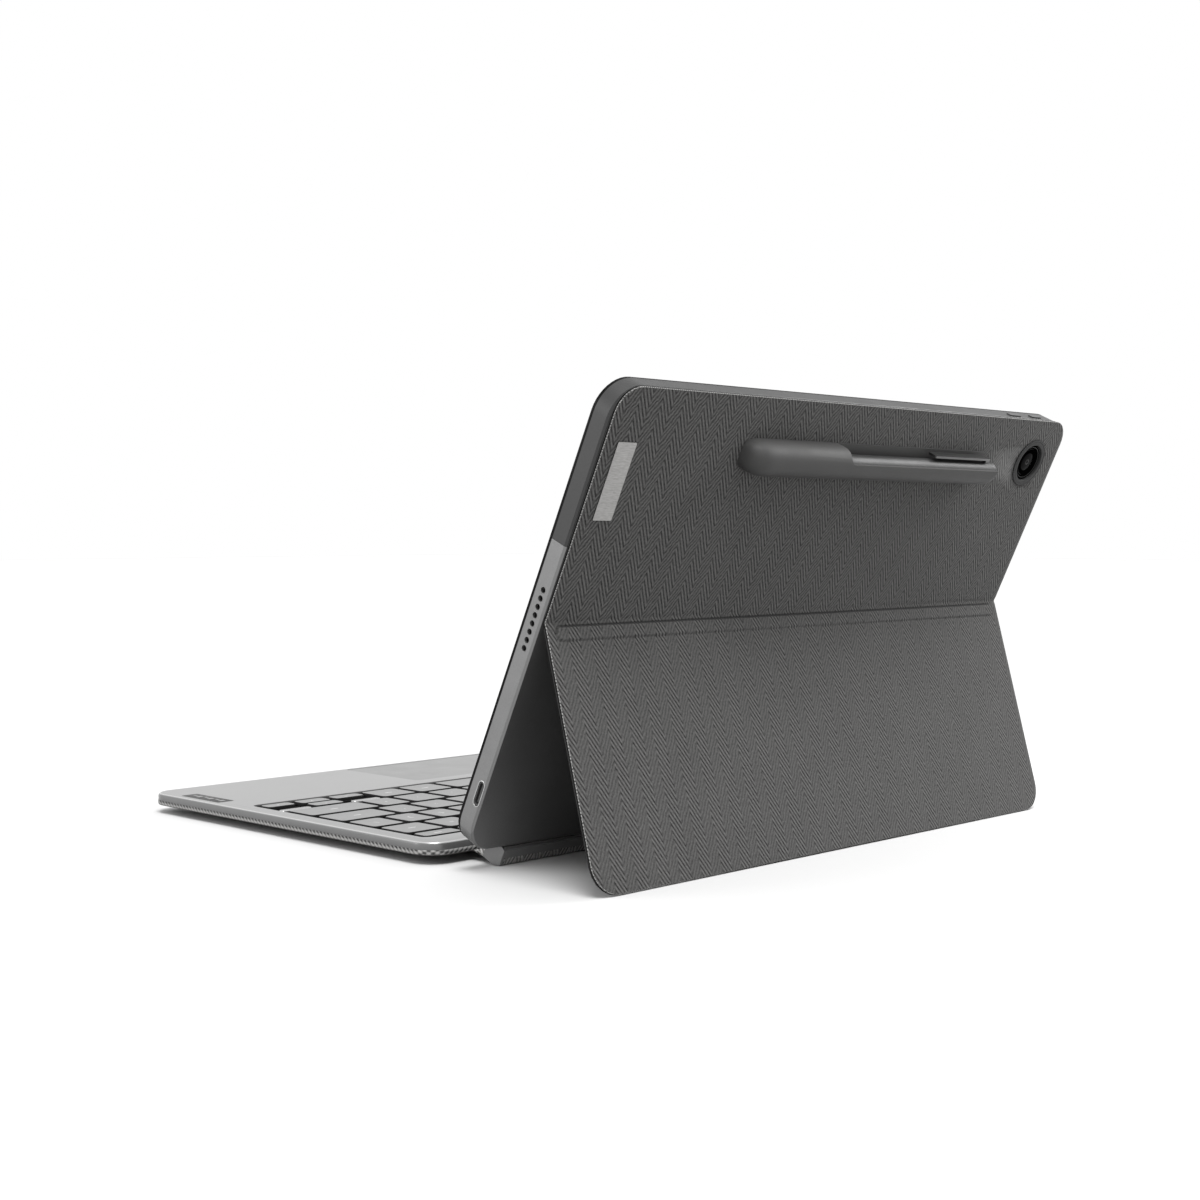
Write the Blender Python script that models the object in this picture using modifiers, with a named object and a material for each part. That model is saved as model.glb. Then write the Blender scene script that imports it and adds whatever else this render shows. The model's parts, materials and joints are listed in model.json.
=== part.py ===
"""Tablet keyboard case: an 11-inch-class tablet in its rear stand cover, with a pen
and a detachable keyboard.

Axes: +X is the user's right, +Y the rear (the kickstand's side), +Z up.  The origin is
the base centre of the bounding box, on the table.  Pieces of the tablet, the cover and
the dock are placed in the tablet's own tilted frame, where x runs across the tablet,
y out of its back (0 on the back face) and z up its height (0 on its bottom edge).
Sizes are in millimetres, turned into metres where a mesh is made.
"""

from math import cos, radians, sin

import bmesh
import bpy
from mathutils import Matrix, Vector

MM = 0.001

# ---- stance -------------------------------------------------------------------------
TILT = 25.2              # the tablet leans back from the vertical, in degrees
STAND_ANGLE = 15.15      # the open kickstand's lean from the vertical, in degrees
TABLET_LIFT = 6.5        # height of the tablet's rear bottom edge above the table
ORIGIN_SHIFT = 58.89     # from the tablet's rear bottom edge to the bounding box's middle

# ---- tablet -------------------------------------------------------------------------
TABLET_WIDTH = 258.04
TABLET_HEIGHT = 164.3
TABLET_DEPTH = 7.9
TABLET_CORNER = 11.5
GLASS = 0.78             # cover glass thickness
WALL = 1.4               # side wall of the metal tray
BACK = 0.7               # back wall of the metal tray
CHAMFER = 0.7            # along the back edge
ANTENNA_LINE = 110.8     # where the metal tray meets the plastic antenna cover
CAMERA = (-110.4, 146.8)         # centre of the camera, x and z
CAMERA_HOLE = 7.2         # radius of the opening in the casing
SPEAKER_HOLES = 8
SPEAKER_HOLE_PITCH = 2.9
SPEAKER_HOLE_RADIUS = 1.05
SPEAKER_LOW = 74.2       # lowest hole's height
PORT_HEIGHT = 21.7       # centre of the charging socket
PORT_DEPTH = -2.1
BUTTON_DEPTH = -2.65     # centre line of the side buttons
BUTTON_PROUD = 0.45
BUTTON_WIDTH = 2.3

# ---- stand cover and kickstand ------------------------------------------------------
COVER_WIDTH = 256.8
COVER_TOP = 164.5
COVER_CORNER = 9.0
KICKSTAND_CORNER = 10.0
LINING = (0.05, 0.35)    # the three layers of the cover, measured from the tablet's back
BOARD = (0.42, 0.98)
FABRIC = (1.05, 1.50)
FOLD = 85.2              # height of the fold axis
FOLD_DEPTH = 0.9         # distance of the fold axis from the tablet's back
FOLD_GAP = 1.7           # each panel stops this far from the fold axis
LEAF = (0.45, 0.85)      # the steel hinge leaves lie inside the board layer
LEAF_START = 1.3
LEAF_END = 9.0
LEAF_WIDTH = 250.0
KNUCKLE_RADIUS = 0.58
KNUCKLE_BORE = 0.36
PIN_RADIUS = 0.30
KNUCKLES = 5
PLATE = (115.0, 123.2, 120.6, 146.6)     # name plate: left, right, bottom, top

# ---- pen and pen holder -------------------------------------------------------------
PEN_HEIGHT = 144.0       # centre line of the pen on the tablet's back
PEN_DEPTH = 6.0
PEN_RADIUS = 3.9
PEN_END = -76.2          # clip end of the pen
PEN_SHOULDER = 49.8      # where the barrel meets the tip
PEN_NIB = 60.5
CLIP = (-71.8, -35.8)
HOLDER = (-75.6, 65.5, 139.0, 150.4)     # open end, domed end, lower edge, upper edge
HOLDER_TOP = 10.75
HOLDER_DOME = 9.0        # length of the domed end
DOME_PLAN = 3.2          # how square the dome is, seen from the back; 2 is an ellipse
DOME_RISE = 3.0          # the same, seen from the side
HOLDER_SHOULDER = 5.2    # rounding along the sleeve
HOLDER_LIP = 2.6         # rounding of the open end's lower corner
HOLDER_STEPS = 6
HOLDER_CUTAWAY = 16.5    # the upper wall stops here, where the clip slides in

# ---- dock ---------------------------------------------------------------------------
DOCK_HALF = 111.4
CAP_THICKNESS = 1.2
DOCK_TOP = -0.35
LIP_TOP = -1.1
LIP_BOTTOM = -4.0
DOCK_REAR = 0.8
DOCK_FRONT = -7.7
DOCK_BOTTOM = -8.44
DOCK_FABRIC = 0.5        # thickness of the fabric round the dock and across the hinge

# ---- keyboard (its own frame is level: x right, y rear, z up from the table) ---------
PIVOT = (-15.62, 3.18)   # hinge line of the keyboard, y and z
BOARD_HALF = 129.0
BOARD_REAR = -17.1
BOARD_FRONT = -189.8
BOARD_CORNER = 9.0
DECK_TOP = 7.6
DECK_BOTTOM = 4.3
DECK_PLATE = 0.9
UNDERSIDE = 3.0
WELL_HALF = 121.6
WELL_REAR = -28.4
WELL_FRONT = -130.9
PAD_LEFT, PAD_RIGHT = -69.0, 33.0
PAD_REAR, PAD_FRONT = -139.0, -186.7
KEY_GAP = 2.0
FIELD_HALF = 120.6       # half the width of the key field, to the middle of its edge gap
ROW_REAR = -29.4
FUNCTION_PITCH = 9.8
ROW_PITCH = 18.1
LETTER = 17.8            # pitch of the letter keys
CAP_BOTTOM = 6.6
WEB = (6.4, 6.8)         # the thin web that carries one row's caps
FOOT_WIDTH = 6.0

# Finish of each kind of surface: sRGB colour, roughness, metallic.
FINISHES = {
    "aluminium": ((0.56, 0.56, 0.57), 0.38, 0.9),
    "dark_plastic": ((0.26, 0.26, 0.26), 0.50, 0.0),
    "black_plastic": ((0.05, 0.05, 0.05), 0.45, 0.0),
    "glass": ((0.02, 0.02, 0.02), 0.06, 0.0),
    "fabric": ((0.33, 0.32, 0.31), 0.90, 0.0),
    "lining": ((0.24, 0.24, 0.24), 0.85, 0.0),
    "fibre_board": ((0.30, 0.29, 0.27), 0.80, 0.0),
    "steel": ((0.60, 0.60, 0.60), 0.30, 1.0),
    "magnet": ((0.50, 0.50, 0.52), 0.35, 1.0),
    "silver_plastic": ((0.72, 0.72, 0.72), 0.45, 0.2),
    "key_plastic": ((0.64, 0.64, 0.64), 0.50, 0.0),
    "rubber": ((0.31, 0.31, 0.31), 0.70, 0.0),
    "circuit": ((0.05, 0.22, 0.12), 0.50, 0.0),
    "battery": ((0.16, 0.16, 0.18), 0.40, 0.1),
    "gold": ((0.80, 0.62, 0.30), 0.30, 1.0),
}


# ---- modelling helpers --------------------------------------------------------------
def clear_scene():
    for old in list(bpy.data.objects):
        bpy.data.objects.remove(old, do_unlink=True)


def collection(name):
    made = bpy.data.collections.new(name)
    bpy.context.scene.collection.children.link(made)
    return made


def linear(value):
    """One sRGB channel as linear light."""
    return value / 12.92 if value <= 0.04045 else ((value + 0.055) / 1.055) ** 2.4


def add_finish(part, kind):
    """Give the part its own material of one kind of finish."""
    colour, roughness, metallic = FINISHES[kind]
    material = bpy.data.materials.new(part.name + "_finish")
    material.use_nodes = True
    shader = material.node_tree.nodes["Principled BSDF"]
    shader.inputs["Base Color"].default_value = (*[linear(c) for c in colour], 1.0)
    shader.inputs["Roughness"].default_value = roughness
    shader.inputs["Metallic"].default_value = metallic
    part.data.materials.append(material)


def place(name, mesh, parent, centre, kind):
    """Link a mesh as a part, or as a hidden cutter where no finish is named."""
    part = bpy.data.objects.new(name, mesh)
    part.parent = parent
    part.location = Vector(centre) * MM
    if kind:
        parts.objects.link(part)
        add_finish(part, kind)
    else:
        cutters.objects.link(part)
        part.hide_render = True
        part.display_type = 'WIRE'
    return part


def empty_frame(name, location, tilt=0.0, parent=None):
    """A body's own axes: an empty on its joint, tilted about X by an angle in degrees."""
    empty = bpy.data.objects.new(name, None)
    empty.location = Vector(location) * MM
    empty.rotation_euler = (radians(tilt), 0.0, 0.0)
    empty.parent = parent
    bpy.context.scene.collection.objects.link(empty)
    return empty


def axis_edges(bm, axis, keep):
    """Edges along one axis (0, 1 or 2) whose middle passes the keep test."""
    chosen = []
    for edge in bm.edges:
        run = edge.verts[1].co - edge.verts[0].co
        middle = (edge.verts[0].co + edge.verts[1].co) / 2
        if abs(run[axis]) > 0.999 * run.length and keep(middle):
            chosen.append(edge)
    return chosen


def rim_edges(bm, axis, side):
    """Edges of the face at the far end of one axis: side is +1 or -1."""
    level = max(vert.co[axis] * side for vert in bm.verts)
    return [edge for edge in bm.edges
            if all(vert.co[axis] * side > level - 1e-7 for vert in edge.verts)]


def bevel(bm, edges, width, segments):
    bmesh.ops.bevel(bm, geom=edges, offset=width * MM, segments=segments,
                    profile=0.5, affect='EDGES')


def block(name, low, high, parent, kind=None, corner=None, rims=(), smooth=True):
    """A box between two corners.

    corner is (axis, radius, segments) or (axis, radius, segments, keep), which rounds
    the edges along that axis; rims lists (axis, side, width, segments) edge bevels.
    """
    low, high = Vector(low), Vector(high)
    bm = bmesh.new()
    bmesh.ops.create_cube(bm, size=1.0)
    bmesh.ops.scale(bm, vec=(high - low) * MM, verts=bm.verts)
    if corner:
        axis, radius, segments, *rest = corner
        keep = rest[0] if rest else (lambda middle: True)
        bevel(bm, axis_edges(bm, axis, keep), radius, segments)
    for axis, side, width, segments in rims:
        bevel(bm, rim_edges(bm, axis, side), width, segments)
    mesh = bpy.data.meshes.new(name)
    bm.to_mesh(mesh)
    bm.free()
    if smooth and (corner or rims):
        mesh.shade_smooth()
        mesh.set_sharp_from_angle(angle=radians(35))
    return place(name, mesh, parent, (low + high) / 2, kind)


TURN = {0: Matrix.Rotation(radians(90), 3, 'Y'),
        1: Matrix.Rotation(radians(-90), 3, 'X'),
        2: Matrix.Identity(3)}


def rod(name, centre, radius, length, axis, parent, kind=None, segments=24):
    """A cylinder along one axis, about its centre."""
    bm = bmesh.new()
    bmesh.ops.create_cone(bm, cap_ends=True, segments=segments, radius1=radius * MM,
                          radius2=radius * MM, depth=length * MM)
    bmesh.ops.rotate(bm, verts=bm.verts, cent=(0, 0, 0), matrix=TURN[axis])
    mesh = bpy.data.meshes.new(name)
    bm.to_mesh(mesh)
    bm.free()
    mesh.shade_smooth()
    mesh.set_sharp_from_angle(angle=radians(35))
    return place(name, mesh, parent, centre, kind)


def turned(name, profile, centre, axis, parent, kind, steps=32):
    """A profile of (radius, height) points turned about one axis through the centre."""
    mesh = bpy.data.meshes.new(name)
    points = [(radius * MM, 0.0, height * MM) for radius, height in profile]
    ring = [(i, i + 1) for i in range(len(points) - 1)]
    if profile[0][0] > 0:
        ring.append((len(points) - 1, 0))
    mesh.from_pydata(points, ring, [])
    part = place(name, mesh, parent, centre, kind)
    part.rotation_euler = TURN[axis].to_euler()
    screw = part.modifiers.new("Turn", 'SCREW')
    screw.steps = steps
    screw.render_steps = steps
    screw.use_merge_vertices = True
    screw.merge_threshold = 0.00001
    return part


def prism(name, outline, x_low, x_high, parent, kind=None):
    """An outline of (depth, height) points pushed along X between two ends."""
    curve = bpy.data.curves.new(name, 'CURVE')
    curve.dimensions = '2D'
    curve.fill_mode = 'BOTH'
    curve.extrude = (x_high - x_low) / 2 * MM
    spline = curve.splines.new('POLY')
    spline.points.add(len(outline) - 1)
    for point, (depth, height) in zip(spline.points, outline):
        point.co = (depth * MM, height * MM, 0.0, 1.0)
    spline.use_cyclic_u = True
    flat = bpy.data.objects.new(name + "_outline", curve)
    bpy.context.scene.collection.objects.link(flat)
    graph = bpy.context.evaluated_depsgraph_get()
    mesh = bpy.data.meshes.new_from_object(flat.evaluated_get(graph))
    bpy.data.objects.remove(flat, do_unlink=True)
    bm = bmesh.new()
    bm.from_mesh(mesh)
    bmesh.ops.remove_doubles(bm, verts=bm.verts, dist=0.000001)
    stand_up = Matrix(((0, 0, 1), (1, 0, 0), (0, 1, 0)))
    bmesh.ops.rotate(bm, verts=bm.verts, cent=(0, 0, 0), matrix=stand_up)
    bmesh.ops.recalc_face_normals(bm, faces=bm.faces)
    bm.to_mesh(mesh)
    bm.free()
    mesh.name = name
    return place(name, mesh, parent, ((x_low + x_high) / 2, 0, 0), kind)


def boolean(part, tool, operation='DIFFERENCE'):
    modifier = part.modifiers.new(tool.name, 'BOOLEAN')
    modifier.operation = operation
    modifier.object = tool
    modifier.solver = 'EXACT'


def blocks(name, corners, parent):
    """One cutter made of several separate boxes, each given by its two corners."""
    bm = bmesh.new()
    for low, high in corners:
        made = bmesh.ops.create_cube(bm, size=1.0)["verts"]
        size = Vector(high) - Vector(low)
        bmesh.ops.scale(bm, vec=size * MM, verts=made)
        middle = (Vector(low) + Vector(high)) / 2
        bmesh.ops.translate(bm, vec=middle * MM, verts=made)
    mesh = bpy.data.meshes.new(name)
    bm.to_mesh(mesh)
    bm.free()
    return place(name, mesh, parent, (0, 0, 0), None)


# ---- tablet -------------------------------------------------------------------------
def tablet_tray(name, kind, z_cut_low, z_cut_high):
    """The tray behind the display, kept only outside one height range."""
    half = TABLET_WIDTH / 2
    front = GLASS + 0.07 - TABLET_DEPTH
    tray = block(name, (-half, front, 0), (half, 0, TABLET_HEIGHT), tablet, kind,
                 corner=(1, TABLET_CORNER, 10), rims=[(1, 1, CHAMFER, 1)])
    pocket = block(name + "_pocket", (WALL - half, front - 2, WALL),
                   (half - WALL, -BACK, TABLET_HEIGHT - WALL), tablet,
                   corner=(1, TABLET_CORNER - WALL, 6))
    boolean(tray, pocket)
    away = block(name + "_end", (-half - 5, front - 3, z_cut_low),
                 (half + 5, 5, z_cut_high), tablet)
    boolean(tray, away)
    return tray


def speaker_grille(tray, side):
    """A row of round holes through one side wall."""
    for index in range(SPEAKER_HOLES):
        height = SPEAKER_LOW + index * SPEAKER_HOLE_PITCH
        x = side * (TABLET_WIDTH / 2 - WALL / 2)
        hole = rod(f"speaker_hole_{index}_{side:+d}", (x, -3.2, height),
                   SPEAKER_HOLE_RADIUS, WALL + 2, 0, tablet, segments=12)
        boolean(tray, hole)


def build_casing():
    half = TABLET_WIDTH / 2
    shell = tablet_tray("back_shell", "aluminium", ANTENNA_LINE - 0.05, TABLET_HEIGHT + 5)
    antenna = tablet_tray("antenna_cover", "dark_plastic", -5, ANTENNA_LINE + 0.05)
    speaker_grille(shell, 1)
    speaker_grille(shell, -1)
    port = block("port_hole", (half - 3, PORT_DEPTH - 1.32, PORT_HEIGHT - 4.4),
                 (half + 2, PORT_DEPTH + 1.32, PORT_HEIGHT + 4.4), tablet,
                 corner=(0, 1.3, 4))
    boolean(shell, port)
    pads = block("contact_slot", (-7.3, -5.3, -2), (7.3, -2.7, WALL + 1), tablet)
    boolean(shell, pads)
    lens_hole = rod("camera_hole", (CAMERA[0], -0.5, CAMERA[1]), CAMERA_HOLE, 3, 1, tablet)
    boolean(antenna, lens_hole)
    return antenna


def build_display():
    half = TABLET_WIDTH / 2
    block("display_glass", (0.12 - half, -TABLET_DEPTH, 0.12),
          (half - 0.12, GLASS - TABLET_DEPTH, TABLET_HEIGHT - 0.12), tablet, "glass",
          corner=(1, TABLET_CORNER - 0.1, 10), rims=[(1, -1, 0.3, 1)])
    block("display_panel", (2.2 - half, 0.06 + GLASS - TABLET_DEPTH, 2.2),
          (half - 2.2, -5.2, TABLET_HEIGHT - 2.2), tablet, "black_plastic",
          corner=(1, 9.0, 4))


def build_electronics():
    block("battery_pack", (-85, -4.9, 22), (60, -1.0, 104), tablet, "battery",
          corner=(1, 2.0, 2))
    block("main_board", (-94, -4.4, 112), (95, -3.4, 157), tablet, "circuit")
    x, z = CAMERA
    block("camera_module", (x - 5.5, -5.0, z - 5.5), (x + 5.5, -1.3, z + 5.5), tablet,
          "black_plastic")
    rim = CAMERA_HOLE - 0.15
    turned("camera_bezel", [(rim, 1.1), (rim, -0.9), (4.45, -0.9), (4.45, 1.1)],
           (x, 0, z), 1, tablet, "black_plastic")
    turned("camera_lens", [(0, 0.7), (2.4, 0.6), (4.3, 0.2), (4.3, -0.8), (0, -0.8)],
           (x, 0, z), 1, tablet, "glass", steps=24)
    for side, name in ((1, "speaker_right"), (-1, "speaker_left")):
        inner, outer = side * 110, side * (TABLET_WIDTH / 2 - WALL - 0.3)
        block(name, (min(inner, outer), -5.0, 71), (max(inner, outer), -1.0, 98), tablet,
              "black_plastic")
    build_socket()
    block("tablet_contacts", (-7.0, -5.0, 0.1), (7.0, -3.0, 1.9), tablet, "gold",
          corner=(1, 0.5, 2))


def build_socket():
    """The charging socket: an oval metal sleeve, closed behind, round a thin tongue."""
    back, mouth = 121.8, TABLET_WIDTH / 2 - 0.15
    sleeve = block("usb_socket", (back, PORT_DEPTH - 1.18, PORT_HEIGHT - 4.17),
                   (mouth, PORT_DEPTH + 1.18, PORT_HEIGHT + 4.17), tablet, "steel",
                   corner=(0, 1.15, 4))
    hollow = block("socket_hollow", (back + 0.7, PORT_DEPTH - 0.9, PORT_HEIGHT - 3.85),
                   (mouth + 2, PORT_DEPTH + 0.9, PORT_HEIGHT + 3.85), tablet,
                   corner=(0, 0.85, 4))
    tongue = block("socket_tongue", (back + 0.4, PORT_DEPTH - 0.3, PORT_HEIGHT - 3.1),
                   (mouth - 0.6, PORT_DEPTH + 0.3, PORT_HEIGHT + 3.1), tablet)
    boolean(sleeve, hollow)
    boolean(sleeve, tongue, 'UNION')


def build_buttons(antenna):
    """Two volume buttons in the top edge and the power button in the left side."""
    slack = 0.2
    half_width = BUTTON_WIDTH / 2
    y_low, y_high = BUTTON_DEPTH - half_width, BUTTON_DEPTH + half_width
    top = TABLET_HEIGHT
    for name, x, half in (("volume_up_button", -108.4, 3.4),
                          ("volume_down_button", -93.2, 3.8)):
        block(name, (x - half, y_low, top - 2.4), (x + half, y_high, top + BUTTON_PROUD),
              tablet, "dark_plastic", corner=(2, 0.6, 2))
        slot = block(name + "_slot", (x - half - slack, y_low - slack, top - 3),
                     (x + half + slack, y_high + slack, top + 2), tablet,
                     corner=(2, 0.7, 2))
        boolean(antenna, slot)
    left = -TABLET_WIDTH / 2
    z_low, z_high = 131.0, 140.0
    block("power_button", (left - BUTTON_PROUD, y_low, z_low), (left + 2.4, y_high, z_high),
          tablet, "dark_plastic", corner=(0, 0.6, 2))
    slot = block("power_slot", (left - 2, y_low - slack, z_low - slack),
                 (left + 3, y_high + slack, z_high + slack), tablet, corner=(0, 0.7, 2))
    boolean(antenna, slot)


# ---- stand cover --------------------------------------------------------------------
def panel_layer(name, layer, inset, parent, kind, z_low, z_high, corner, at_top):
    """One layer of a cover panel, with its two free corners rounded."""
    half = COVER_WIDTH / 2 - inset
    keep = (lambda middle: middle.z > 0) if at_top else (lambda middle: middle.z < 0)
    return block(name, (-half, layer[0], z_low), (half, layer[1], z_high), parent, kind,
                 corner=(1, corner - inset, 5, keep))


def hinge_leaf(name, parent, kind, direction, own_knuckle):
    """A steel leaf with knuckles on the fold axis; direction is +1 up, -1 down.

    A barrel the length of the leaf is joined to it, then the barrel is cleared wherever
    the other leaf has a knuckle, and bored for the pin.
    """
    half = LEAF_WIDTH / 2
    y_low, y_high = LEAF[0] - FOLD_DEPTH, LEAF[1] - FOLD_DEPTH
    ends = sorted((direction * 0.45, direction * LEAF_END))
    leaf = block(name, (-half, y_low, ends[0]), (half, y_high, ends[1]), parent, kind)
    barrel = rod(name + "_barrel", (0, 0, 0), KNUCKLE_RADIUS, LEAF_WIDTH, 0, parent,
                 segments=16)
    boolean(leaf, barrel, 'UNION')
    pitch = LEAF_WIDTH / KNUCKLES
    reach = sorted((-direction * 1.0, direction * LEAF_START))
    clear = []
    for index in range(KNUCKLES):
        if index % 2 != own_knuckle:
            start = index * pitch - half
            low = start - (0.15 if index else 2.0)
            high = start + pitch + (0.15 if index < KNUCKLES - 1 else 2.0)
            clear.append(((low, -1.0, reach[0]), (high, 1.0, reach[1])))
    boolean(leaf, blocks(name + "_gaps", clear, parent))
    bore = rod(name + "_bore", (0, 0, 0), KNUCKLE_BORE, LEAF_WIDTH + 4, 0, parent,
               segments=16)
    boolean(leaf, bore)
    return leaf


def build_cover():
    low = FOLD + FOLD_GAP
    lining = panel_layer("cover_lining", LINING, 0.2, tablet, "lining", low,
                         COVER_TOP - 0.2, COVER_CORNER, True)
    board = panel_layer("cover_board", BOARD, 0.8, tablet, "fibre_board",
                        FOLD + LEAF_END + 0.4, COVER_TOP - 0.8, COVER_CORNER, True)
    fabric = panel_layer("cover_fabric", FABRIC, 0.0, tablet, "fabric", low, COVER_TOP,
                         COVER_CORNER, True)
    opening = rod("cover_opening", (CAMERA[0], 1, CAMERA[1]), CAMERA_HOLE + 1.25, 6, 1, tablet)
    for layer in (lining, board, fabric):
        boolean(layer, opening)
    for side, name in ((1, "cover_magnet_right"), (-1, "cover_magnet_left")):
        x_low, x_high = sorted((side * 98, side * 110))
        block(name, (x_low, BOARD[0], 99), (x_high, BOARD[1], 134), tablet, "magnet")
        slot = block(name + "_slot", (x_low - 0.1, -1, 98.9), (x_high + 0.1, 3, 134.1),
                     tablet)
        boolean(board, slot)
    hinge_leaf("hinge_leaf_upper", fold, "steel", 1, 0)
    rod("hinge_pin", (0, 0, 0), PIN_RADIUS, LEAF_WIDTH, 0, fold, "steel", segments=16)
    x_low, x_high, z_low, z_high = PLATE
    block("name_plate", (x_low, FABRIC[1] + 0.05, z_low), (x_high, FABRIC[1] + 0.4, z_high),
          tablet, "aluminium", corner=(1, 0.4, 2))
    inner, collar, outer = CAMERA_HOLE + 0.2, CAMERA_HOLE + 1.1, CAMERA_HOLE + 2.65
    ring = [(outer, 0.45), (outer, 0.05), (collar, 0.05), (collar, -1.4), (inner, -1.4),
            (inner, 0.45)]
    turned("camera_ring", ring, (CAMERA[0], FABRIC[1], CAMERA[1]), 1, tablet, "rubber")


def holder_section(x):
    """Outline of the pen holder at one station: flat floor, walls, rounded shoulders."""
    x_low, x_high, z_low, z_high = HOLDER
    floor = FABRIC[1] + 0.05
    into_dome = max((x - x_high + HOLDER_DOME) / HOLDER_DOME, 0.0)
    narrow = (1 - into_dome ** DOME_PLAN) ** (1 / DOME_PLAN)
    lower = (1 - into_dome ** DOME_RISE) ** (1 / DOME_RISE)
    past_lip = max(HOLDER_LIP - (x - x_low), 0.0)
    lift = HOLDER_LIP - (HOLDER_LIP ** 2 - past_lip ** 2) ** 0.5
    middle, half = (z_low + z_high) / 2, (z_high - z_low) / 2 * narrow
    low, high = middle - half + lift, middle + half
    top = floor + (HOLDER_TOP - floor) * lower
    radius = min(HOLDER_SHOULDER * min(narrow, lower), (high - low) / 2 - 0.1)
    points = [(floor, low)]
    for centre, first in ((low + radius, 180), (high - radius, 90)):
        for step in range(HOLDER_STEPS + 1):
            angle = radians(first - 90 * step / HOLDER_STEPS)
            points.append((top - radius + radius * sin(angle),
                           centre + radius * cos(angle)))
    return [(x, y, z) for y, z in points + [(floor, high)]]


def build_pen_holder():
    """A sleeve closed by a dome at one end, its upper wall cut back for the pen's clip."""
    x_low, x_high = HOLDER[:2]
    stations = [x_low + HOLDER_LIP * part for part in (0, 0.12, 0.35, 1)]
    stations += [x_high - HOLDER_DOME * (1 - part)
                 for part in (0, 0.25, 0.45, 0.62, 0.76, 0.87, 0.94, 0.98)]
    bm = bmesh.new()
    rings = [[bm.verts.new(Vector(point) * MM) for point in holder_section(x)]
             for x in stations]
    count = len(rings[0])
    for near, far in zip(rings, rings[1:]):
        for index in range(count):
            after = (index + 1) % count
            bm.faces.new((near[index], near[after], far[after], far[index]))
    bm.faces.new(rings[0])
    bm.faces.new(rings[-1])
    bmesh.ops.recalc_face_normals(bm, faces=bm.faces)
    mesh = bpy.data.meshes.new("pen_holder")
    bm.to_mesh(mesh)
    bm.free()
    mesh.shade_smooth()
    mesh.set_sharp_from_angle(angle=radians(35))
    holder = place("pen_holder", mesh, tablet, (0, 0, 0), "rubber")
    for name, radius, start, end in (
            ("pen_bore", PEN_RADIUS + 0.15, x_low - 5, x_high - HOLDER_DOME),
            ("nib_bore", PEN_RADIUS - 1.0, x_high - HOLDER_DOME - 1, PEN_NIB + 0.5)):
        bore = rod(name, ((start + end) / 2, PEN_DEPTH, PEN_HEIGHT), radius, end - start, 0,
                   tablet, segments=24)
        boolean(holder, bore)
    window = block("clip_window", (x_low - 5, FABRIC[1] + 0.6, PEN_HEIGHT + 2.0),
                   (HOLDER_CUTAWAY, HOLDER_TOP + 5, HOLDER[3] + 5), tablet,
                   corner=(1, 2.0, 3, lambda middle: middle.x > 0 and middle.z < 0))
    boolean(holder, window)


def build_kickstand():
    """The lower panel of the cover, in the fold's frame: z is negative down the panel."""
    shift = FOLD_DEPTH
    lining = (LINING[0] - shift, LINING[1] - shift)
    board = (BOARD[0] - shift, BOARD[1] - shift)
    fabric = (FABRIC[0] - shift, FABRIC[1] - shift)
    panel_layer("kickstand_lining", lining, 0.2, kickstand, "lining", -STAND_LENGTH,
                -FOLD_GAP, KICKSTAND_CORNER, False)
    panel_layer("kickstand_board", board, 0.8, kickstand, "fibre_board",
                0.8 - STAND_LENGTH, -LEAF_END - 0.4, KICKSTAND_CORNER, False)
    panel_layer("kickstand_fabric", fabric, 0.0, kickstand, "fabric", -STAND_LENGTH,
                -FOLD_GAP, KICKSTAND_CORNER, False)
    hinge_leaf("hinge_leaf_lower", kickstand, "steel", -1, 1)


def build_pen():
    axis_point = (PEN_DEPTH, PEN_HEIGHT)
    length = PEN_SHOULDER - PEN_END
    middle = (PEN_SHOULDER + PEN_END) / 2
    rod("pen_barrel", (middle, *axis_point), PEN_RADIUS, length, 0, tablet, "dark_plastic")
    start = PEN_SHOULDER + 0.1
    reach = PEN_NIB - start
    cone = [(0, reach), (0.6, reach), (0.9, reach - 1.5), (2.6, reach * 0.45),
            (PEN_RADIUS, 0), (0, 0)]
    turned("pen_tip", cone, (start, *axis_point), 0, tablet, "black_plastic", steps=24)
    root = PEN_HEIGHT + PEN_RADIUS + 0.1
    clip = block("pen_clip", (CLIP[0], PEN_DEPTH - 2.0, root + 1.1),
                 (CLIP[1], PEN_DEPTH + 2.0, root + 1.9), tablet, "aluminium",
                 corner=(2, 0.8, 2))
    foot = block("clip_root", (CLIP[0] - 1.2, PEN_DEPTH - 1.0, root),
                 (CLIP[0] + 1.2, PEN_DEPTH + 1.0, root + 1.5), tablet)
    boolean(clip, foot, 'UNION')


# ---- dock ---------------------------------------------------------------------------
def table_height(depth):
    """Height, in the tablet's frame, of the table's surface at one depth."""
    return (depth * sin(radians(TILT)) - TABLET_LIFT) / cos(radians(TILT))


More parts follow.
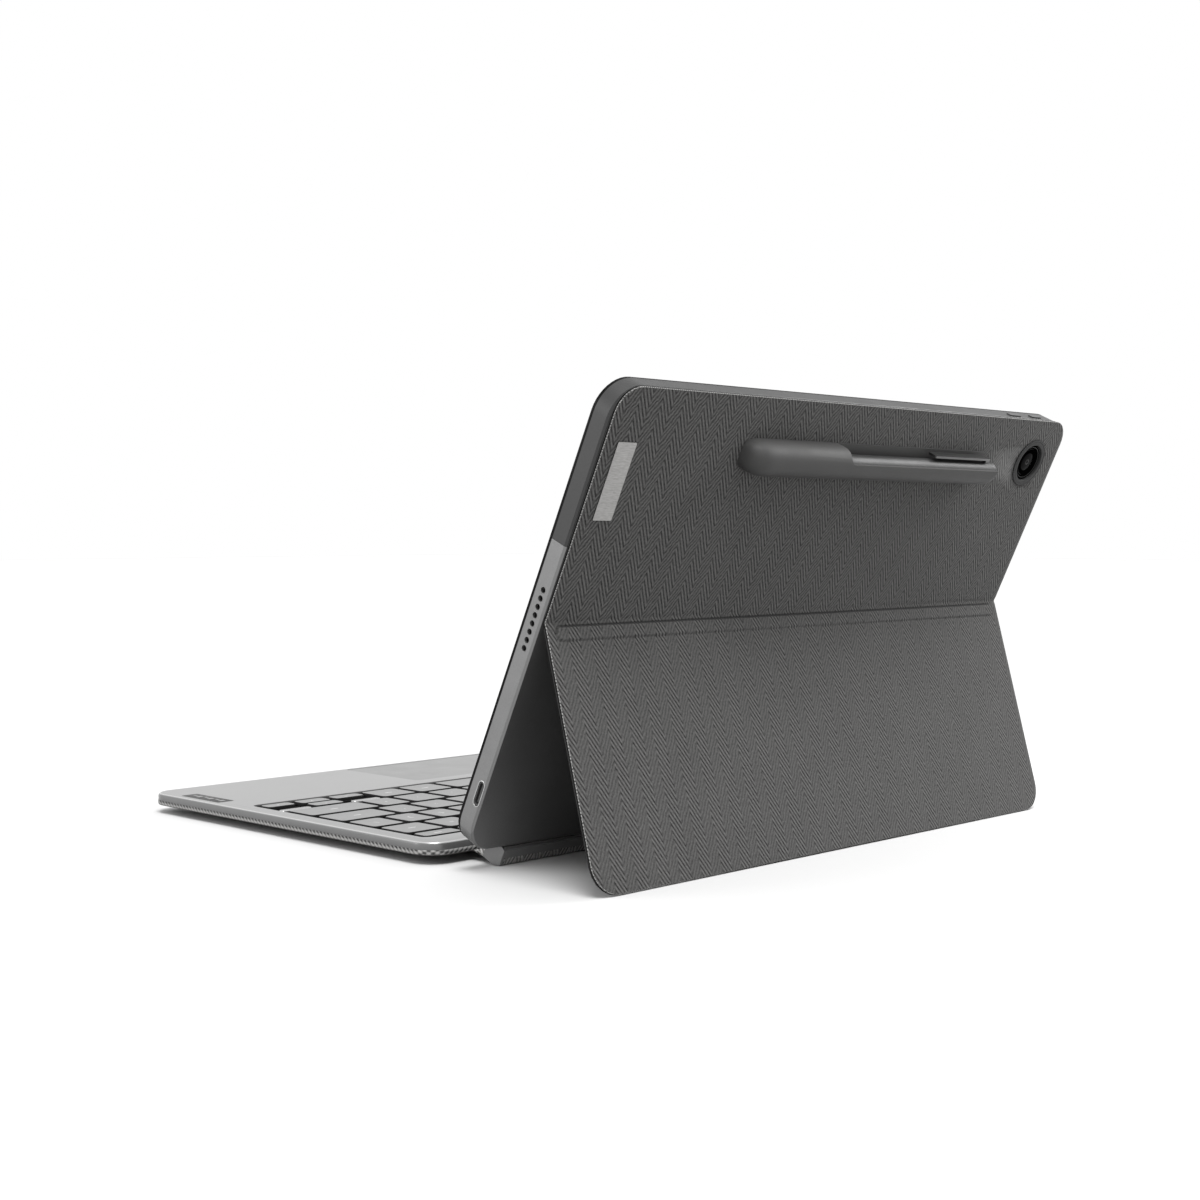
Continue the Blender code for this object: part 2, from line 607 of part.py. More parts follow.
def build_dock():
    """The bar under the tablet's bottom edge, its fabric and its two end caps."""
    inner = DOCK_REAR - DOCK_FABRIC - 0.05
    heel, toe = 0.8, -2.45
    bar_outline = [(DOCK_FRONT, DOCK_TOP), (-0.35, DOCK_TOP), (-0.35, LIP_TOP),
                   (DOCK_REAR, LIP_TOP), (DOCK_REAR, LIP_BOTTOM), (inner, LIP_BOTTOM - 0.1),
                   (inner, table_height(heel) + 0.2), (toe - 0.2, DOCK_BOTTOM + 0.69),
                   (DOCK_FRONT, DOCK_BOTTOM + 0.59)]
    bar_end = DOCK_HALF - CAP_THICKNESS - 0.1
    bar = prism("dock_bar", bar_outline, -bar_end, bar_end, tablet, "dark_plastic")
    pins = block("pin_slot", (-7.3, -5.3, -2.0), (7.3, -2.7, 1.0), tablet)
    boolean(bar, pins)
    block("dock_contacts", (-7.0, -5.0, -1.7), (7.0, -3.0, -0.1), tablet, "gold",
          corner=(1, 0.5, 2))
    for side, name in ((1, "dock_magnet_right"), (-1, "dock_magnet_left")):
        x_low, x_high = sorted((side * 45, side * 85))
        block(name, (x_low, -6.0, -2.6), (x_high, -2.0, -0.45), tablet, "magnet")
        slot = block(name + "_slot", (x_low - 0.1, -6.1, -2.7), (x_high + 0.1, -1.9, 1.0),
                     tablet)
        boolean(bar, slot)
    cap_outline = [(DOCK_FRONT - 0.1, DOCK_TOP - 0.15), (-0.4, DOCK_TOP - 0.15),
                   (DOCK_REAR - 0.1, LIP_TOP - 0.1), (DOCK_REAR - 0.1, table_height(heel) + 0.1),
                   (toe, table_height(toe) + 0.15), (DOCK_FRONT - 0.1, DOCK_BOTTOM + 0.2)]
    for side, name in ((1, "dock_end_cap_right"), (-1, "dock_end_cap_left")):
        ends = sorted((side * (DOCK_HALF - CAP_THICKNESS), side * DOCK_HALF))
        prism(name, cap_outline, ends[0], ends[1], tablet, "silver_plastic")
    fabric_outline = [(DOCK_REAR, LIP_BOTTOM - 0.1), (DOCK_REAR, table_height(heel)),
                      (toe, table_height(toe)), (-7.6, DOCK_BOTTOM - 0.5), (-12.25, -9.95),
                      (-12.25, -9.30), (-7.9, DOCK_BOTTOM), (DOCK_FRONT, DOCK_BOTTOM + 0.52),
                      (toe - 0.15, DOCK_BOTTOM + 0.62), (inner + 0.06, table_height(heel) + 0.13),
                      (inner + 0.06, LIP_BOTTOM - 0.1)]
    prism("dock_fabric", fabric_outline, -bar_end, bar_end, tablet, "fabric")


# ---- keyboard -----------------------------------------------------------------------
def level(x, y, z):
    """A point of the level keyboard in its hinge's frame."""
    return (x, y - PIVOT[0], z - PIVOT[1])


def level_block(name, low, high, kind=None, **more):
    return block(name, level(*low), level(*high), keyboard, kind, **more)


def build_keyboard_case():
    half, front, rear = BOARD_HALF, BOARD_FRONT, BOARD_REAR
    deck = level_block("keyboard_deck", (-half, front, DECK_BOTTOM), (half, rear, DECK_TOP),
                       "aluminium", corner=(2, BOARD_CORNER, 6), rims=[(2, 1, 1.0, 3)])
    wall = 1.2
    hollow = level_block("deck_hollow", (wall - half, front + wall, 0),
                         (half - wall, rear - wall, DECK_TOP - DECK_PLATE),
                         corner=(2, BOARD_CORNER - wall, 4))
    well = level_block("key_well", (-WELL_HALF, WELL_FRONT, 5), (WELL_HALF, WELL_REAR, 12),
                       corner=(2, 3.0, 3))
    slack = 0.3
    pad_hole = level_block("pad_hole", (PAD_LEFT - slack, PAD_FRONT - slack, 5),
                           (PAD_RIGHT + slack, PAD_REAR + slack, 12), corner=(2, 2.0, 3))
    for tool in (hollow, well, pad_hole):
        boolean(deck, tool)
    level_block("keyboard_base", (0.8 - half, front + 0.8, UNDERSIDE + 0.52),
                (half - 0.8, rear - 0.8, DECK_BOTTOM - 0.1), "dark_plastic",
                corner=(2, BOARD_CORNER - 0.8, 4))
    skin = level_block("keyboard_fabric", (-half, front, UNDERSIDE),
                       (half, rear, UNDERSIDE + 0.45), "fabric", corner=(2, BOARD_CORNER, 6))
    tongue = level_block("hinge_tongue", (0.2 - DOCK_HALF, rear - 3, UNDERSIDE),
                         (DOCK_HALF - 0.2, PIVOT[0] - 0.7, UNDERSIDE + 0.45))
    boolean(skin, tongue, 'UNION')
    level_block("keyboard_circuit", (45, -182, DECK_BOTTOM), (110, -145, 5.3), "circuit")
    for name, y in (("rear_foot", -36.0), ("front_foot", -182.0)):
        level_block(name, (-108, y, 0), (108, y + FOOT_WIDTH, UNDERSIDE - 0.05), "rubber",
                    corner=(2, 2.8, 4))


def row_edges(index):
    """Rear and front limits of a key row, 0 being the function row."""
    if index == 0:
        return ROW_REAR, ROW_REAR - FUNCTION_PITCH
    rear = ROW_REAR - FUNCTION_PITCH - (index - 1) * ROW_PITCH
    return rear, rear - ROW_PITCH


def key_group(name, rear, front, right, pitches, gap_rear=KEY_GAP / 2,
              gap_front=KEY_GAP / 2):
    """Caps side by side from right to left, carried by one web."""
    side = KEY_GAP / 2
    left = right - sum(pitches)
    margin = 1.5
    web = level_block(name, (left + side + margin, front + gap_front + margin, WEB[0]),
                      (right - side - margin, rear - gap_rear - margin, WEB[1]),
                      "key_plastic")
    caps = []
    edge = right
    for pitch in pitches:
        caps.append((level(edge - pitch + side, front + gap_front, CAP_BOTTOM),
                     level(edge - side, rear - gap_rear, DECK_TOP)))
        edge -= pitch
    boolean(web, blocks(name + "_caps", caps, keyboard), 'UNION')


def build_keys():
    right = FIELD_HALF
    width = 2 * FIELD_HALF
    wide = 19.6
    number_pitch = (width - wide) / 13
    rows = [("function_row", [wide] + [number_pitch] * 13),
            ("number_row", [wide] + [number_pitch] * 13),
            ("tab_row", [16.5, 15.2, 14.8] + [LETTER] * 10),
            ("home_row", [27.7, 15.5] + [LETTER] * 10),
            ("shift_row", [34.2, 15.3] + [LETTER] * 9)]
    for index, (name, pitches) in enumerate(rows):
        rest = width - sum(pitches)
        if rest > 1:
            pitches = pitches + [rest]
        rear, front = row_edges(index)
        key_group(name, rear, front, right, pitches)
    rear, front = row_edges(5)
    middle = (rear + front) / 2
    arrow, stack = 15.3, 16.3
    key_group("arrow_right_key", middle, front, right, [arrow])
    key_group("arrow_up_key", rear, middle, right - arrow, [stack], gap_front=0.45)
    key_group("arrow_down_key", middle, front, right - arrow, [stack], gap_rear=0.45)
    key_group("arrow_left_key", middle, front, right - arrow - stack, [arrow + 1.3])
    right -= 2 * arrow + 1.3 + stack
    key_group("bottom_row_right", rear, front, right, [19.0, 19.1])
    right -= 38.1
    space = 97.5
    key_group("space_bar", rear, front, right, [space])
    right -= space
    side_key = (right + FIELD_HALF) / 3
    key_group("bottom_row_left", rear, front, right, [side_key] * 3)


def build_key_plate():
    """The plate under the keys, with the two ledges that fill in behind the side arrows."""
    plate = level_block("key_plate", (-WELL_HALF - 1.5, WELL_FRONT - 1.5, 4.5),
                        (WELL_HALF + 1.5, WELL_REAR + 1.5, 5.0), "black_plastic")
    rear = row_edges(5)[0]
    ledges = [(level(107.0, rear - 2.6, 4.8), level(121.0, rear + 0.5, DECK_TOP)),
              (level(74.0, rear - 2.6, 4.8), level(87.5, rear + 0.5, DECK_TOP))]
    boolean(plate, blocks("arrow_ledges", ledges, keyboard), 'UNION')


def build_touchpad():
    """The pad turns about its rear edge and clicks down at its front edge."""
    low = Vector(level(PAD_LEFT, PAD_FRONT, 6.6)) - Vector(PAD_AXIS)
    high = Vector(level(PAD_RIGHT, PAD_REAR, 7.5)) - Vector(PAD_AXIS)
    block("touchpad", low, high, touchpad, "silver_plastic", corner=(2, 1.7, 3))


# ---- assembly -----------------------------------------------------------------------
clear_scene()
parts = collection("tablet_keyboard_case")
cutters = collection("cutters")

ground = empty_frame("ground", (0, ORIGIN_SHIFT, 0))
tablet = empty_frame("tablet_frame", (0, 0, TABLET_LIFT), -TILT, ground)
fold = empty_frame("fold_axis", (0, FOLD_DEPTH, FOLD), 0, tablet)
kickstand = empty_frame("kickstand_frame", (0, FOLD_DEPTH, FOLD), TILT + STAND_ANGLE, tablet)
keyboard = empty_frame("keyboard_hinge", (0, *PIVOT), 0, ground)
PAD_AXIS = level(0, PAD_REAR - 0.2, 7.0)
touchpad = empty_frame("touchpad_hinge", PAD_AXIS, 0, keyboard)

# The kickstand is as long as it must be for its inner bottom edge to meet the table.
FOLD_HEIGHT = TABLET_LIFT + FOLD * cos(radians(TILT)) - FOLD_DEPTH * sin(radians(TILT))
STAND_LENGTH = ((FOLD_HEIGHT - (FOLD_DEPTH - LINING[0]) * sin(radians(STAND_ANGLE)))
                / cos(radians(STAND_ANGLE)))

antenna_cover = build_casing()
build_display()
build_electronics()
build_buttons(antenna_cover)
build_cover()
build_pen_holder()
build_kickstand()
build_pen()
build_dock()
build_keyboard_case()
build_keys()
build_key_plate()
build_touchpad()
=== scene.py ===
"""Looks of the tablet keyboard case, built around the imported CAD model.

Local frames follow the CAD: "tablet" points are (x, outward from the back, up the back),
"stand" points are (x, outward, up towards the fold), "desk" points are the row frame
itself. Shapes are given in millimetres, materials in metres, and grey levels as sRGB 0-255.
"""
import json
from math import cos, pi, radians, sin, sqrt

import bmesh
import bpy
from mathutils import Matrix, Vector


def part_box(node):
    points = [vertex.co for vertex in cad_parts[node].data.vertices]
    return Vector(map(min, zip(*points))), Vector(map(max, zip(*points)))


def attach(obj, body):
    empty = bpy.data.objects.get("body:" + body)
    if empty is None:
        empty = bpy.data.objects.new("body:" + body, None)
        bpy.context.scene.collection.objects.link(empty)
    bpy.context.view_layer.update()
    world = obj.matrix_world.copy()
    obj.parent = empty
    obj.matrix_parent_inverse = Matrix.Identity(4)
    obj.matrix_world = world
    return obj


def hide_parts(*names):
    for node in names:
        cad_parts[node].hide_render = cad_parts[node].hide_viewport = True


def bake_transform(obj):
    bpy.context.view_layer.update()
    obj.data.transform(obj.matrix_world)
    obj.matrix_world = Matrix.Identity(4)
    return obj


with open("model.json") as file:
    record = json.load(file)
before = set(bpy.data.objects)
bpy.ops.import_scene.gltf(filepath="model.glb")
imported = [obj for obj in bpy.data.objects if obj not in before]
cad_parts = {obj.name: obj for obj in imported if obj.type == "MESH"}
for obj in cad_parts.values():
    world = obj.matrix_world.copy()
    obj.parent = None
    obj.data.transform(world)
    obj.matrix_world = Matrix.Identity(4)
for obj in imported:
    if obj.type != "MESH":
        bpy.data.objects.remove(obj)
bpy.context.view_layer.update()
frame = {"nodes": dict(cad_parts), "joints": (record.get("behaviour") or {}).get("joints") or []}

MM = 0.001
JOINTS = {joint["name"]: joint for joint in frame["joints"]}
TILT = radians(25.2)                   # the tablet leans back from upright
STAND = radians(15.15)                 # the stand leans the other way


def box_mm(node):
    low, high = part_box(node)
    return [v / MM for v in low], [v / MM for v in high]


# ---- frames -------------------------------------------------------------------------
def turned_frame(origin, angle):
    """Millimetre frame turned about X, mapped to metres of the row frame."""
    return (Matrix.Translation(Vector(origin) * MM) @ Matrix.Rotation(angle, 4, 'X')
            @ Matrix.Scale(MM, 4))


FOLD_HEIGHT, FOLD_DEPTH = 85.2, 0.9    # the fold axis in the tablet's frame
FOLD_POINT = Vector(JOINTS["kickstand_fold"]["pos_m"]) / MM
BACK_EDGE = FOLD_POINT - Matrix.Rotation(-TILT, 3, 'X') @ Vector((0, FOLD_DEPTH, FOLD_HEIGHT))
PIVOT_Y, PIVOT_Z = (v / MM for v in JOINTS["keyboard_fold"]["pos_m"][1:])
tablet = turned_frame(BACK_EDGE, -TILT)
desk = Matrix.Scale(MM, 4)


# ---- materials ----------------------------------------------------------------------
CLOTH_UV = "cloth"
FINE_GRAIN, SOFT_PATCHES = 2600.0, 60.0   # noise scales of blasted metal and plastic


class Nodes:
    """A short way to write a material's node tree."""

    def __init__(self, name):
        self.material = bpy.data.materials.new(name)
        self.material.use_nodes = True
        self.tree = self.material.node_tree
        self.shader = self.tree.nodes["Principled BSDF"]

    def add(self, kind, **settings):
        node = self.tree.nodes.new("ShaderNode" + kind)
        for key, value in settings.items():
            setattr(node, key, value)
        return node

    def link(self, value, socket):
        if isinstance(value, bpy.types.NodeSocket):
            self.tree.links.new(value, socket)
        else:
            socket.default_value = value

    def math(self, operation, a, b=0.0):
        node = self.add("Math", operation=operation)
        self.link(a, node.inputs[0])
        self.link(b, node.inputs[1])
        return node.outputs[0]

    def total(self, *terms):
        """The sum of (value, weight) pairs."""
        result = None
        for value, weight in terms:
            part = self.math('MULTIPLY', value, weight)
            result = part if result is None else self.math('ADD', result, part)
        return result

    def wave(self, value, length):
        """A sine of a length in metres."""
        return self.math('SINE', self.math('MULTIPLY', value, 2 * pi / length))

    def axes(self, vector):
        node = self.add("SeparateXYZ")
        self.link(vector, node.inputs[0])
        return node.outputs

    def coordinates(self):
        return self.add("TexCoord").outputs["Object"]

    def flat_coordinates(self):
        """Places on the cloth as it lay flat, in metres."""
        return self.add("UVMap", uv_map=CLOTH_UV).outputs["UV"]

    def noise(self, vector, scale, detail=3.0, roughness=0.55, stretch=None):
        if stretch:
            mapping = self.add("Mapping")
            self.link(vector, mapping.inputs["Vector"])
            mapping.inputs["Scale"].default_value = stretch
            vector = mapping.outputs[0]
        node = self.add("TexNoise")
        self.link(vector, node.inputs["Vector"])
        node.inputs["Scale"].default_value = scale
        node.inputs["Detail"].default_value = detail
        node.inputs["Roughness"].default_value = roughness
        return node.outputs["Fac"]

    def spread(self, value, low, high, to_low=0.0, to_high=1.0):
        node = self.add("MapRange")
        self.link(value, node.inputs["Value"])
        for key, number in (("From Min", low), ("From Max", high),
                            ("To Min", to_low), ("To Max", to_high)):
            node.inputs[key].default_value = number
        return node.outputs[0]

    def mix(self, factor, a, b):
        node = self.add("Mix", data_type='RGBA')
        self.link(factor, node.inputs[0])
        self.link(a if isinstance(a, bpy.types.NodeSocket) else (*a, 1.0), node.inputs[6])
        self.link(b if isinstance(b, bpy.types.NodeSocket) else (*b, 1.0), node.inputs[7])
        return node.outputs[2]

    def bump(self, height, distance):
        node = self.add("Bump")
        self.link(height, node.inputs["Height"])
        node.inputs["Distance"].default_value = distance
        node.inputs["Strength"].default_value = 1.0
        self.link(node.outputs[0], self.shader.inputs["Normal"])

    def set(self, **values):
        for key, value in values.items():
            self.link(value, self.shader.inputs[key.replace("_", " ")])


def grey(level, warm=0.0):
    """Linear colour of an sRGB grey level, a little warmer if asked."""
    value = level / 255.0
    linear = value / 12.92 if value <= 0.04045 else ((value + 0.055) / 1.055) ** 2.4
    return (linear * (1 + warm), linear, linear * (1 - 1.6 * warm))


def moulded(name, dark, light, rough=(0.4, 0.55), metal=0.0, scale=FINE_GRAIN,
            depth=0.00004, warm=0.0, specular=0.5):
    """Moulded plastic, paint or blasted metal: fine grain, soft patches, small marks."""
    n = Nodes(name)
    where = n.coordinates()
    fine = n.noise(where, scale, 2.0)
    broad = n.noise(where, SOFT_PATCHES, 4.0)
    marks = n.spread(n.noise(where, 7 * SOFT_PATCHES, 6.0, 0.7), 0.62, 0.78)
    tone = n.total((fine, 0.55), (broad, 0.45))
    colour = n.mix(n.spread(tone, 0.3, 0.7), grey(dark, warm), grey(light, warm))
    n.set(Base_Color=colour, Metallic=metal)
    sheen = n.spread(broad, 0.3, 0.7, rough[0], rough[1])
    n.set(Roughness=n.math('ADD', sheen, n.math('MULTIPLY', marks, 0.08)))
    n.set(Specular_IOR_Level=specular)
    n.bump(n.math('ADD', fine, n.math('MULTIPLY', marks, -0.3)), depth)
    return n.material


def brushed(name, dark, light, rough=(0.28, 0.42), stretch=(1, 60, 60), scale=90.0,
            warm=0.0):
    """Metal with a fine grain in one direction."""
    n = Nodes(name)
    where = n.coordinates()
    lines = n.noise(where, scale, 5.0, 0.65, stretch)
    broad = n.noise(where, 45.0, 3.0)
    colour = n.mix(n.spread(lines, 0.3, 0.7), grey(dark, warm), grey(light, warm))
    n.set(Base_Color=colour, Metallic=1.0)
    n.set(Roughness=n.spread(n.math('ADD', lines, n.math('MULTIPLY', broad, 0.5)),
                             0.5, 1.1, rough[0], rough[1]))
    n.bump(lines, 0.00002)
    return n.material


def herringbone(name, dark, light, column=5.0, crease=None):
    """Woven cloth: twill ribs that turn back at every column, over a fine weft.

    The ribs of every other column are weaker, and more so above the fold. A crease is a
    pressed line darkened with painted shade: (half length, place along the cloth, half
    width) in millimetres.
    """
    spacing, slope, warm = 1.3, 1.62, 0.012
    weft_spacing = 0.5
    column_width = column * MM
    n = Nodes(name)
    where = n.flat_coordinates()
    from_middle, along = n.axes(where)[:2]
    wander = n.math('SUBTRACT', n.noise(where, 260.0, 3.0, 0.7), 0.5)
    across = n.math('ADD', from_middle, n.math('MULTIPLY', wander, 0.0015))
    side = n.math('PINGPONG', across, column_width)
    rib_at = n.math('ADD', along, n.math('MULTIPLY', side, slope))
    rib_at = n.math('ADD', rib_at, n.math('MULTIPLY', wander, 0.0016))
    rib = n.spread(n.wave(rib_at, spacing * sqrt(1 + slope ** 2) * MM), -0.8, 0.8)
    strong_column = n.math('GREATER_THAN',
                           n.math('FLOORED_MODULO', across, 2 * column_width), column_width)
    above_fold = n.math('GREATER_THAN', along, 0.0)
    weak = n.spread(above_fold, 0.0, 1.0, 0.4, 0.75)
    wear = n.spread(n.noise(where, 620.0, 2.0), 0.32, 0.62, 0.3, 1.0)
    strength = n.math('MULTIPLY', n.math('MAXIMUM', strong_column, weak), wear)
    turn = n.math('ABSOLUTE', n.wave(across, 2 * column_width))
    seam = n.spread(turn, 0.0, 0.25)
    weft = n.spread(n.wave(along, weft_spacing * MM), -1.0, 1.0)
    fuzz = n.noise(where, 1300.0, 2.0, 0.7)
    patches = n.noise(where, 55.0, 4.0, 0.6)
    woven = n.math('MULTIPLY', n.math('SUBTRACT', rib, 0.5), strength)
    tone = n.total((woven, 0.88), (fuzz, 0.7), (weft, 0.06), (patches, 0.12))
    tone = n.math('MULTIPLY', tone, n.spread(seam, 0.0, 1.0, 0.88, 1.0))
    colour = n.mix(n.spread(tone, -0.08, 0.96), grey(dark, warm), grey(light, warm))
    # A crease: painted shade, a dark line along the pressed fold of the cloth.
    if crease:
        half_length, at, half_width = (v * MM for v in crease)
        off = n.math('ABSOLUTE', n.math('SUBTRACT', along, at))
        line = n.spread(off, 0.4 * half_width, half_width, 1.0, 0.0)
        inside = n.spread(n.math('ABSOLUTE', from_middle), half_length - 0.002, half_length,
                          1.0, 0.0)
        shadow = n.math('MULTIPLY', n.math('MULTIPLY', line, inside), 0.75)
        colour = n.mix(shadow, colour, grey(6))
    n.set(Base_Color=colour)
    n.set(Roughness=n.spread(fuzz, 0.3, 0.7, 0.86, 0.97), Sheen_Weight=0.06,
          Sheen_Roughness=0.5, Specular_IOR_Level=0.2)
    height = n.total((woven, 0.7), (weft, 0.12), (fuzz, 0.2))
    n.bump(n.math('MULTIPLY', height, n.spread(seam, 0.0, 1.0, 0.5, 1.0)), 0.00014)
    return n.material


def cut_edge(name, dark, light, pitch=0.9):
    """The pressed edge of laminated cloth, with a row of small twisted stitches."""
    n = Nodes(name)
    where = n.coordinates()
    x, y, z = n.axes(where)
    waves = [n.wave(n.math('ADD', level, z), pitch * MM) for level in (x, y)]
    twist = n.spread(n.math('ADD', *waves), -1.2, 1.2)
    fibre = n.noise(where, 1600.0, 3.0, 0.8)
    tone = n.total((twist, 0.5), (fibre, 0.5))
    n.set(Base_Color=n.mix(n.spread(tone, 0.2, 0.8), grey(dark, 0.01), grey(light, 0.01)))
    n.set(Roughness=n.spread(fibre, 0.3, 0.7, 0.75, 0.92), Specular_IOR_Level=0.3)
    n.bump(tone, 0.00012)
    return n.material


def glass(name, level, rough, specular=0.25):
    """Dark glass with faint smears and a few specks."""
    n = Nodes(name)
    where = n.coordinates()
    smear = n.noise(where, 22.0, 4.0, 0.6, (1, 2.2, 1))
    specks = n.spread(n.noise(where, 1500.0, 2.0), 0.66, 0.75)
    n.set(Base_Color=n.mix(smear, grey(level), grey(level + 3)))
    n.set(Roughness=n.math('ADD', n.spread(smear, 0.3, 0.7, rough[0], rough[1]),
                           n.math('MULTIPLY', specks, 0.04)))
    n.set(Specular_IOR_Level=specular)
    n.bump(smear, 0.000004)
    return n.material


def metal_with_painted_back_shade(name, side, back, inner, rough, metal):
    """Blasted metal whose side wall, beyond one width, is lighter than its flat back: the darker
    back is painted shade.
    """
    n = Nodes(name)
    where = n.coordinates()
    reach = n.math('ABSOLUTE', n.axes(where)[0])
    wall = n.spread(reach, inner - 0.0001, inner + 0.0001)
    fine = n.noise(where, FINE_GRAIN, 2.0)
    broad = n.noise(where, SOFT_PATCHES, 4.0)
    grain = n.spread(n.total((fine, 0.55), (broad, 0.45)), 0.3, 0.7)
    light = n.mix(grain, grey(side - 6), grey(side + 6))
    # The back's darker grey is painted shade, the shade of the stand over it.
    shade = n.mix(grain, grey(back - 5), grey(back + 5))
    n.set(Base_Color=n.mix(wall, shade, light), Metallic=metal)
    n.set(Roughness=n.spread(broad, 0.3, 0.7, rough[0], rough[1]))
    n.bump(fine, 0.00004)
    return n.material


def deck_metal(name, top, bevel_highlight, wall, bevel_low, bevel_high):
    """Blasted metal: flat top, a polished bevel between two heights whose lighter grey is a
    painted highlight, and a side wall with painted shade, darker towards its foot.
    """
    n = Nodes(name)
    wall_foot = 0.0043
    where = n.coordinates()
    height = n.axes(where)[2]
    fine = n.noise(where, FINE_GRAIN, 2.0)
    grain = n.total((fine, 0.5), (n.noise(where, SOFT_PATCHES, 4.0), 0.5))
    grain = n.spread(grain, 0.3, 0.7)
    # The side wall: painted shade, darker towards its foot.
    shade = n.mix(n.spread(height, wall_foot, bevel_low),
                  grey(wall - 22), n.mix(grain, grey(wall - 4), grey(wall + 4)))
    # The bevel's lighter grey is a painted highlight along the deck's top edge.
    over = n.spread(height, bevel_high - 0.0001, bevel_high + 0.00004)
    upper = n.mix(over, grey(bevel_highlight), n.mix(grain, grey(top - 4), grey(top + 4)))
    cut = n.spread(height, bevel_low - 0.00015, bevel_low + 0.00015)
    n.set(Base_Color=n.mix(cut, shade, upper), Metallic=0.55)
    n.set(Roughness=n.spread(over, 0.0, 1.0, 0.26, 0.36))
    n.bump(fine, 0.00003)
    return n.material


SIDE_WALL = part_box("back_shell")[1][0] - 0.0009    # beyond this the casing turns to its side
MATERIALS = {
    # The cloth's crease is painted shade along the top of the raised strip.
    "cloth": herringbone("herringbone_cloth", 6, 90, crease=(124.0, -1.5, 0.6)),
    "cloth_edge": cut_edge("pressed_edge", 44, 150),
    "skin": herringbone("underside_cloth", 6, 78, column=4.2),
    # The dock's cloth and plastic: painted light, lighter copies of the underside cloth and the
    # dark plastic where the dock sits in shade.
    "dock_cloth_painted_light": herringbone("dock_cloth_painted_light", 36, 165, column=4.2),
    "bar": moulded("dock_plastic_painted_light", 98, 106, (0.4, 0.5), 0.1),
    "skin_edge": cut_edge("skin_edge", 14, 150, 2.1),
    # The casing: its flat back darkened with painted shade, its side wall left lighter.
    "metal": metal_with_painted_back_shade("blasted_metal_painted_back_shade", 118, 104, SIDE_WALL, (0.36, 0.46), 0.7),
    "metal_rim": brushed("bright_rim", 165, 195, (0.2, 0.32)),
    "antenna": moulded("antenna_plastic", 50, 57, (0.4, 0.5), 0.2, specular=0.35),
    # The deck: a painted highlight on its bevel and painted shade down its side wall.
    "deck": deck_metal("deck_metal", 118, 178, 112, 0.0073, 0.0076),
    "pad": moulded("pad_surface", 108, 114, (0.32, 0.4), 0.2, depth=0.00001),
    "cap": moulded("key_top", 112, 122, (0.42, 0.55), 0.1),
    "cap_side": moulded("key_side", 8, 14, (0.6, 0.7), specular=0.2),
    "legend": moulded("key_mark", 176, 192, (0.4, 0.5)),
    "pit": moulded("key_pit", 8, 14, (0.6, 0.8), specular=0.2),
    "rubber": moulded("smooth_rubber", 52, 58, (0.52, 0.66), scale=3600.0, warm=0.008,
                      specular=0.3),
    "foot": moulded("foot_rubber", 44, 56, (0.7, 0.85), warm=0.01),
    "black": moulded("black_plastic", 4, 9, (0.4, 0.5), specular=0.08),
    "eye": moulded("camera_black", 1, 4, (0.12, 0.2), depth=0.000002, specular=0.0),
    "dark": moulded("dark_plastic", 52, 60, (0.38, 0.5)),
    "pen": moulded("pen_shell", 38, 46, (0.4, 0.5), 0.1, specular=0.3),
    "clip": brushed("clip_metal", 84, 112, (0.3, 0.42)),
    "plate": brushed("plate_metal", 132, 160, (0.34, 0.46), (1, 14, 1), 420.0, warm=0.012),
    "cap_end": moulded("end_cap_finish", 112, 124, (0.3, 0.42), 0.5),
    "lining": moulded("microfibre_lining", 40, 52, (0.85, 0.97), scale=1800.0,
                      depth=0.0001, specular=0.2),
    "board": moulded("fibre_board", 52, 70, (0.8, 0.92), scale=1200.0, depth=0.0001,
                     warm=0.02, specular=0.2),
    "steel": brushed("spring_steel", 120, 150),
    "magnet": brushed("plated_magnet", 150, 176, (0.25, 0.36)),
    "gold": brushed("gold_contact", 190, 214, (0.2, 0.32), warm=0.3),
    "circuit": moulded("circuit_board", 50, 74, (0.35, 0.5), scale=700.0, warm=-0.2),
    "cell": moulded("cell_wrap", 44, 60, (0.3, 0.45)),
    "glass": glass("screen_glass", 1, (0.05, 0.1), 0.06),
    "active": glass("screen_surface", 10, (0.05, 0.09)),
    "lens": glass("lens_glass", 3, (0.06, 0.1), 0.02),
    "glint": brushed("lens_coating", 30, 46, (0.2, 0.3)),
    "label": moulded("label_print", 34, 42, (0.45, 0.55)),
    "collar": moulded("collar_rubber", 40, 46, (0.55, 0.7), specular=0.2),
}


# The finish of each carried-over node. The other nodes are replaced by pieces further down.
FINISHES = {
    "metal": ["back_shell"], "antenna": ["antenna_cover"], "glass": ["display_glass"],
    "black": ["display_panel", "camera_module", "speaker_right", "speaker_left", "pen_tip"],
    "cell": ["battery_pack"], "circuit": ["main_board", "keyboard_circuit"],
    "dark": ["usb_socket", "volume_up_button", "volume_down_button", "power_button",
             "keyboard_base"],
    "gold": ["tablet_contacts", "dock_contacts"],
    "board": ["cover_board", "kickstand_board"],
    "lining": ["cover_lining", "kickstand_lining"],
    "magnet": ["cover_magnet_right", "cover_magnet_left", "dock_magnet_right",
               "dock_magnet_left"],
    "steel": ["hinge_leaf_upper", "hinge_leaf_lower", "hinge_pin"],
    "rubber": ["pen_holder"], "clip": ["pen_clip"], "pen": ["pen_barrel"],
    # The dock bar takes the lighter plastic, painted light.
    "plate": ["name_plate"], "bar": ["dock_bar"],
    "cap_end": ["dock_end_cap_right", "dock_end_cap_left"], "deck": ["keyboard_deck"],
    "foot": ["rear_foot", "front_foot"], "pad": ["touchpad"],
}
for kind, names in FINISHES.items():
    for name in names:
        materials = frame["nodes"][name].data.materials
        materials.clear()
        materials.append(MATERIALS[kind])

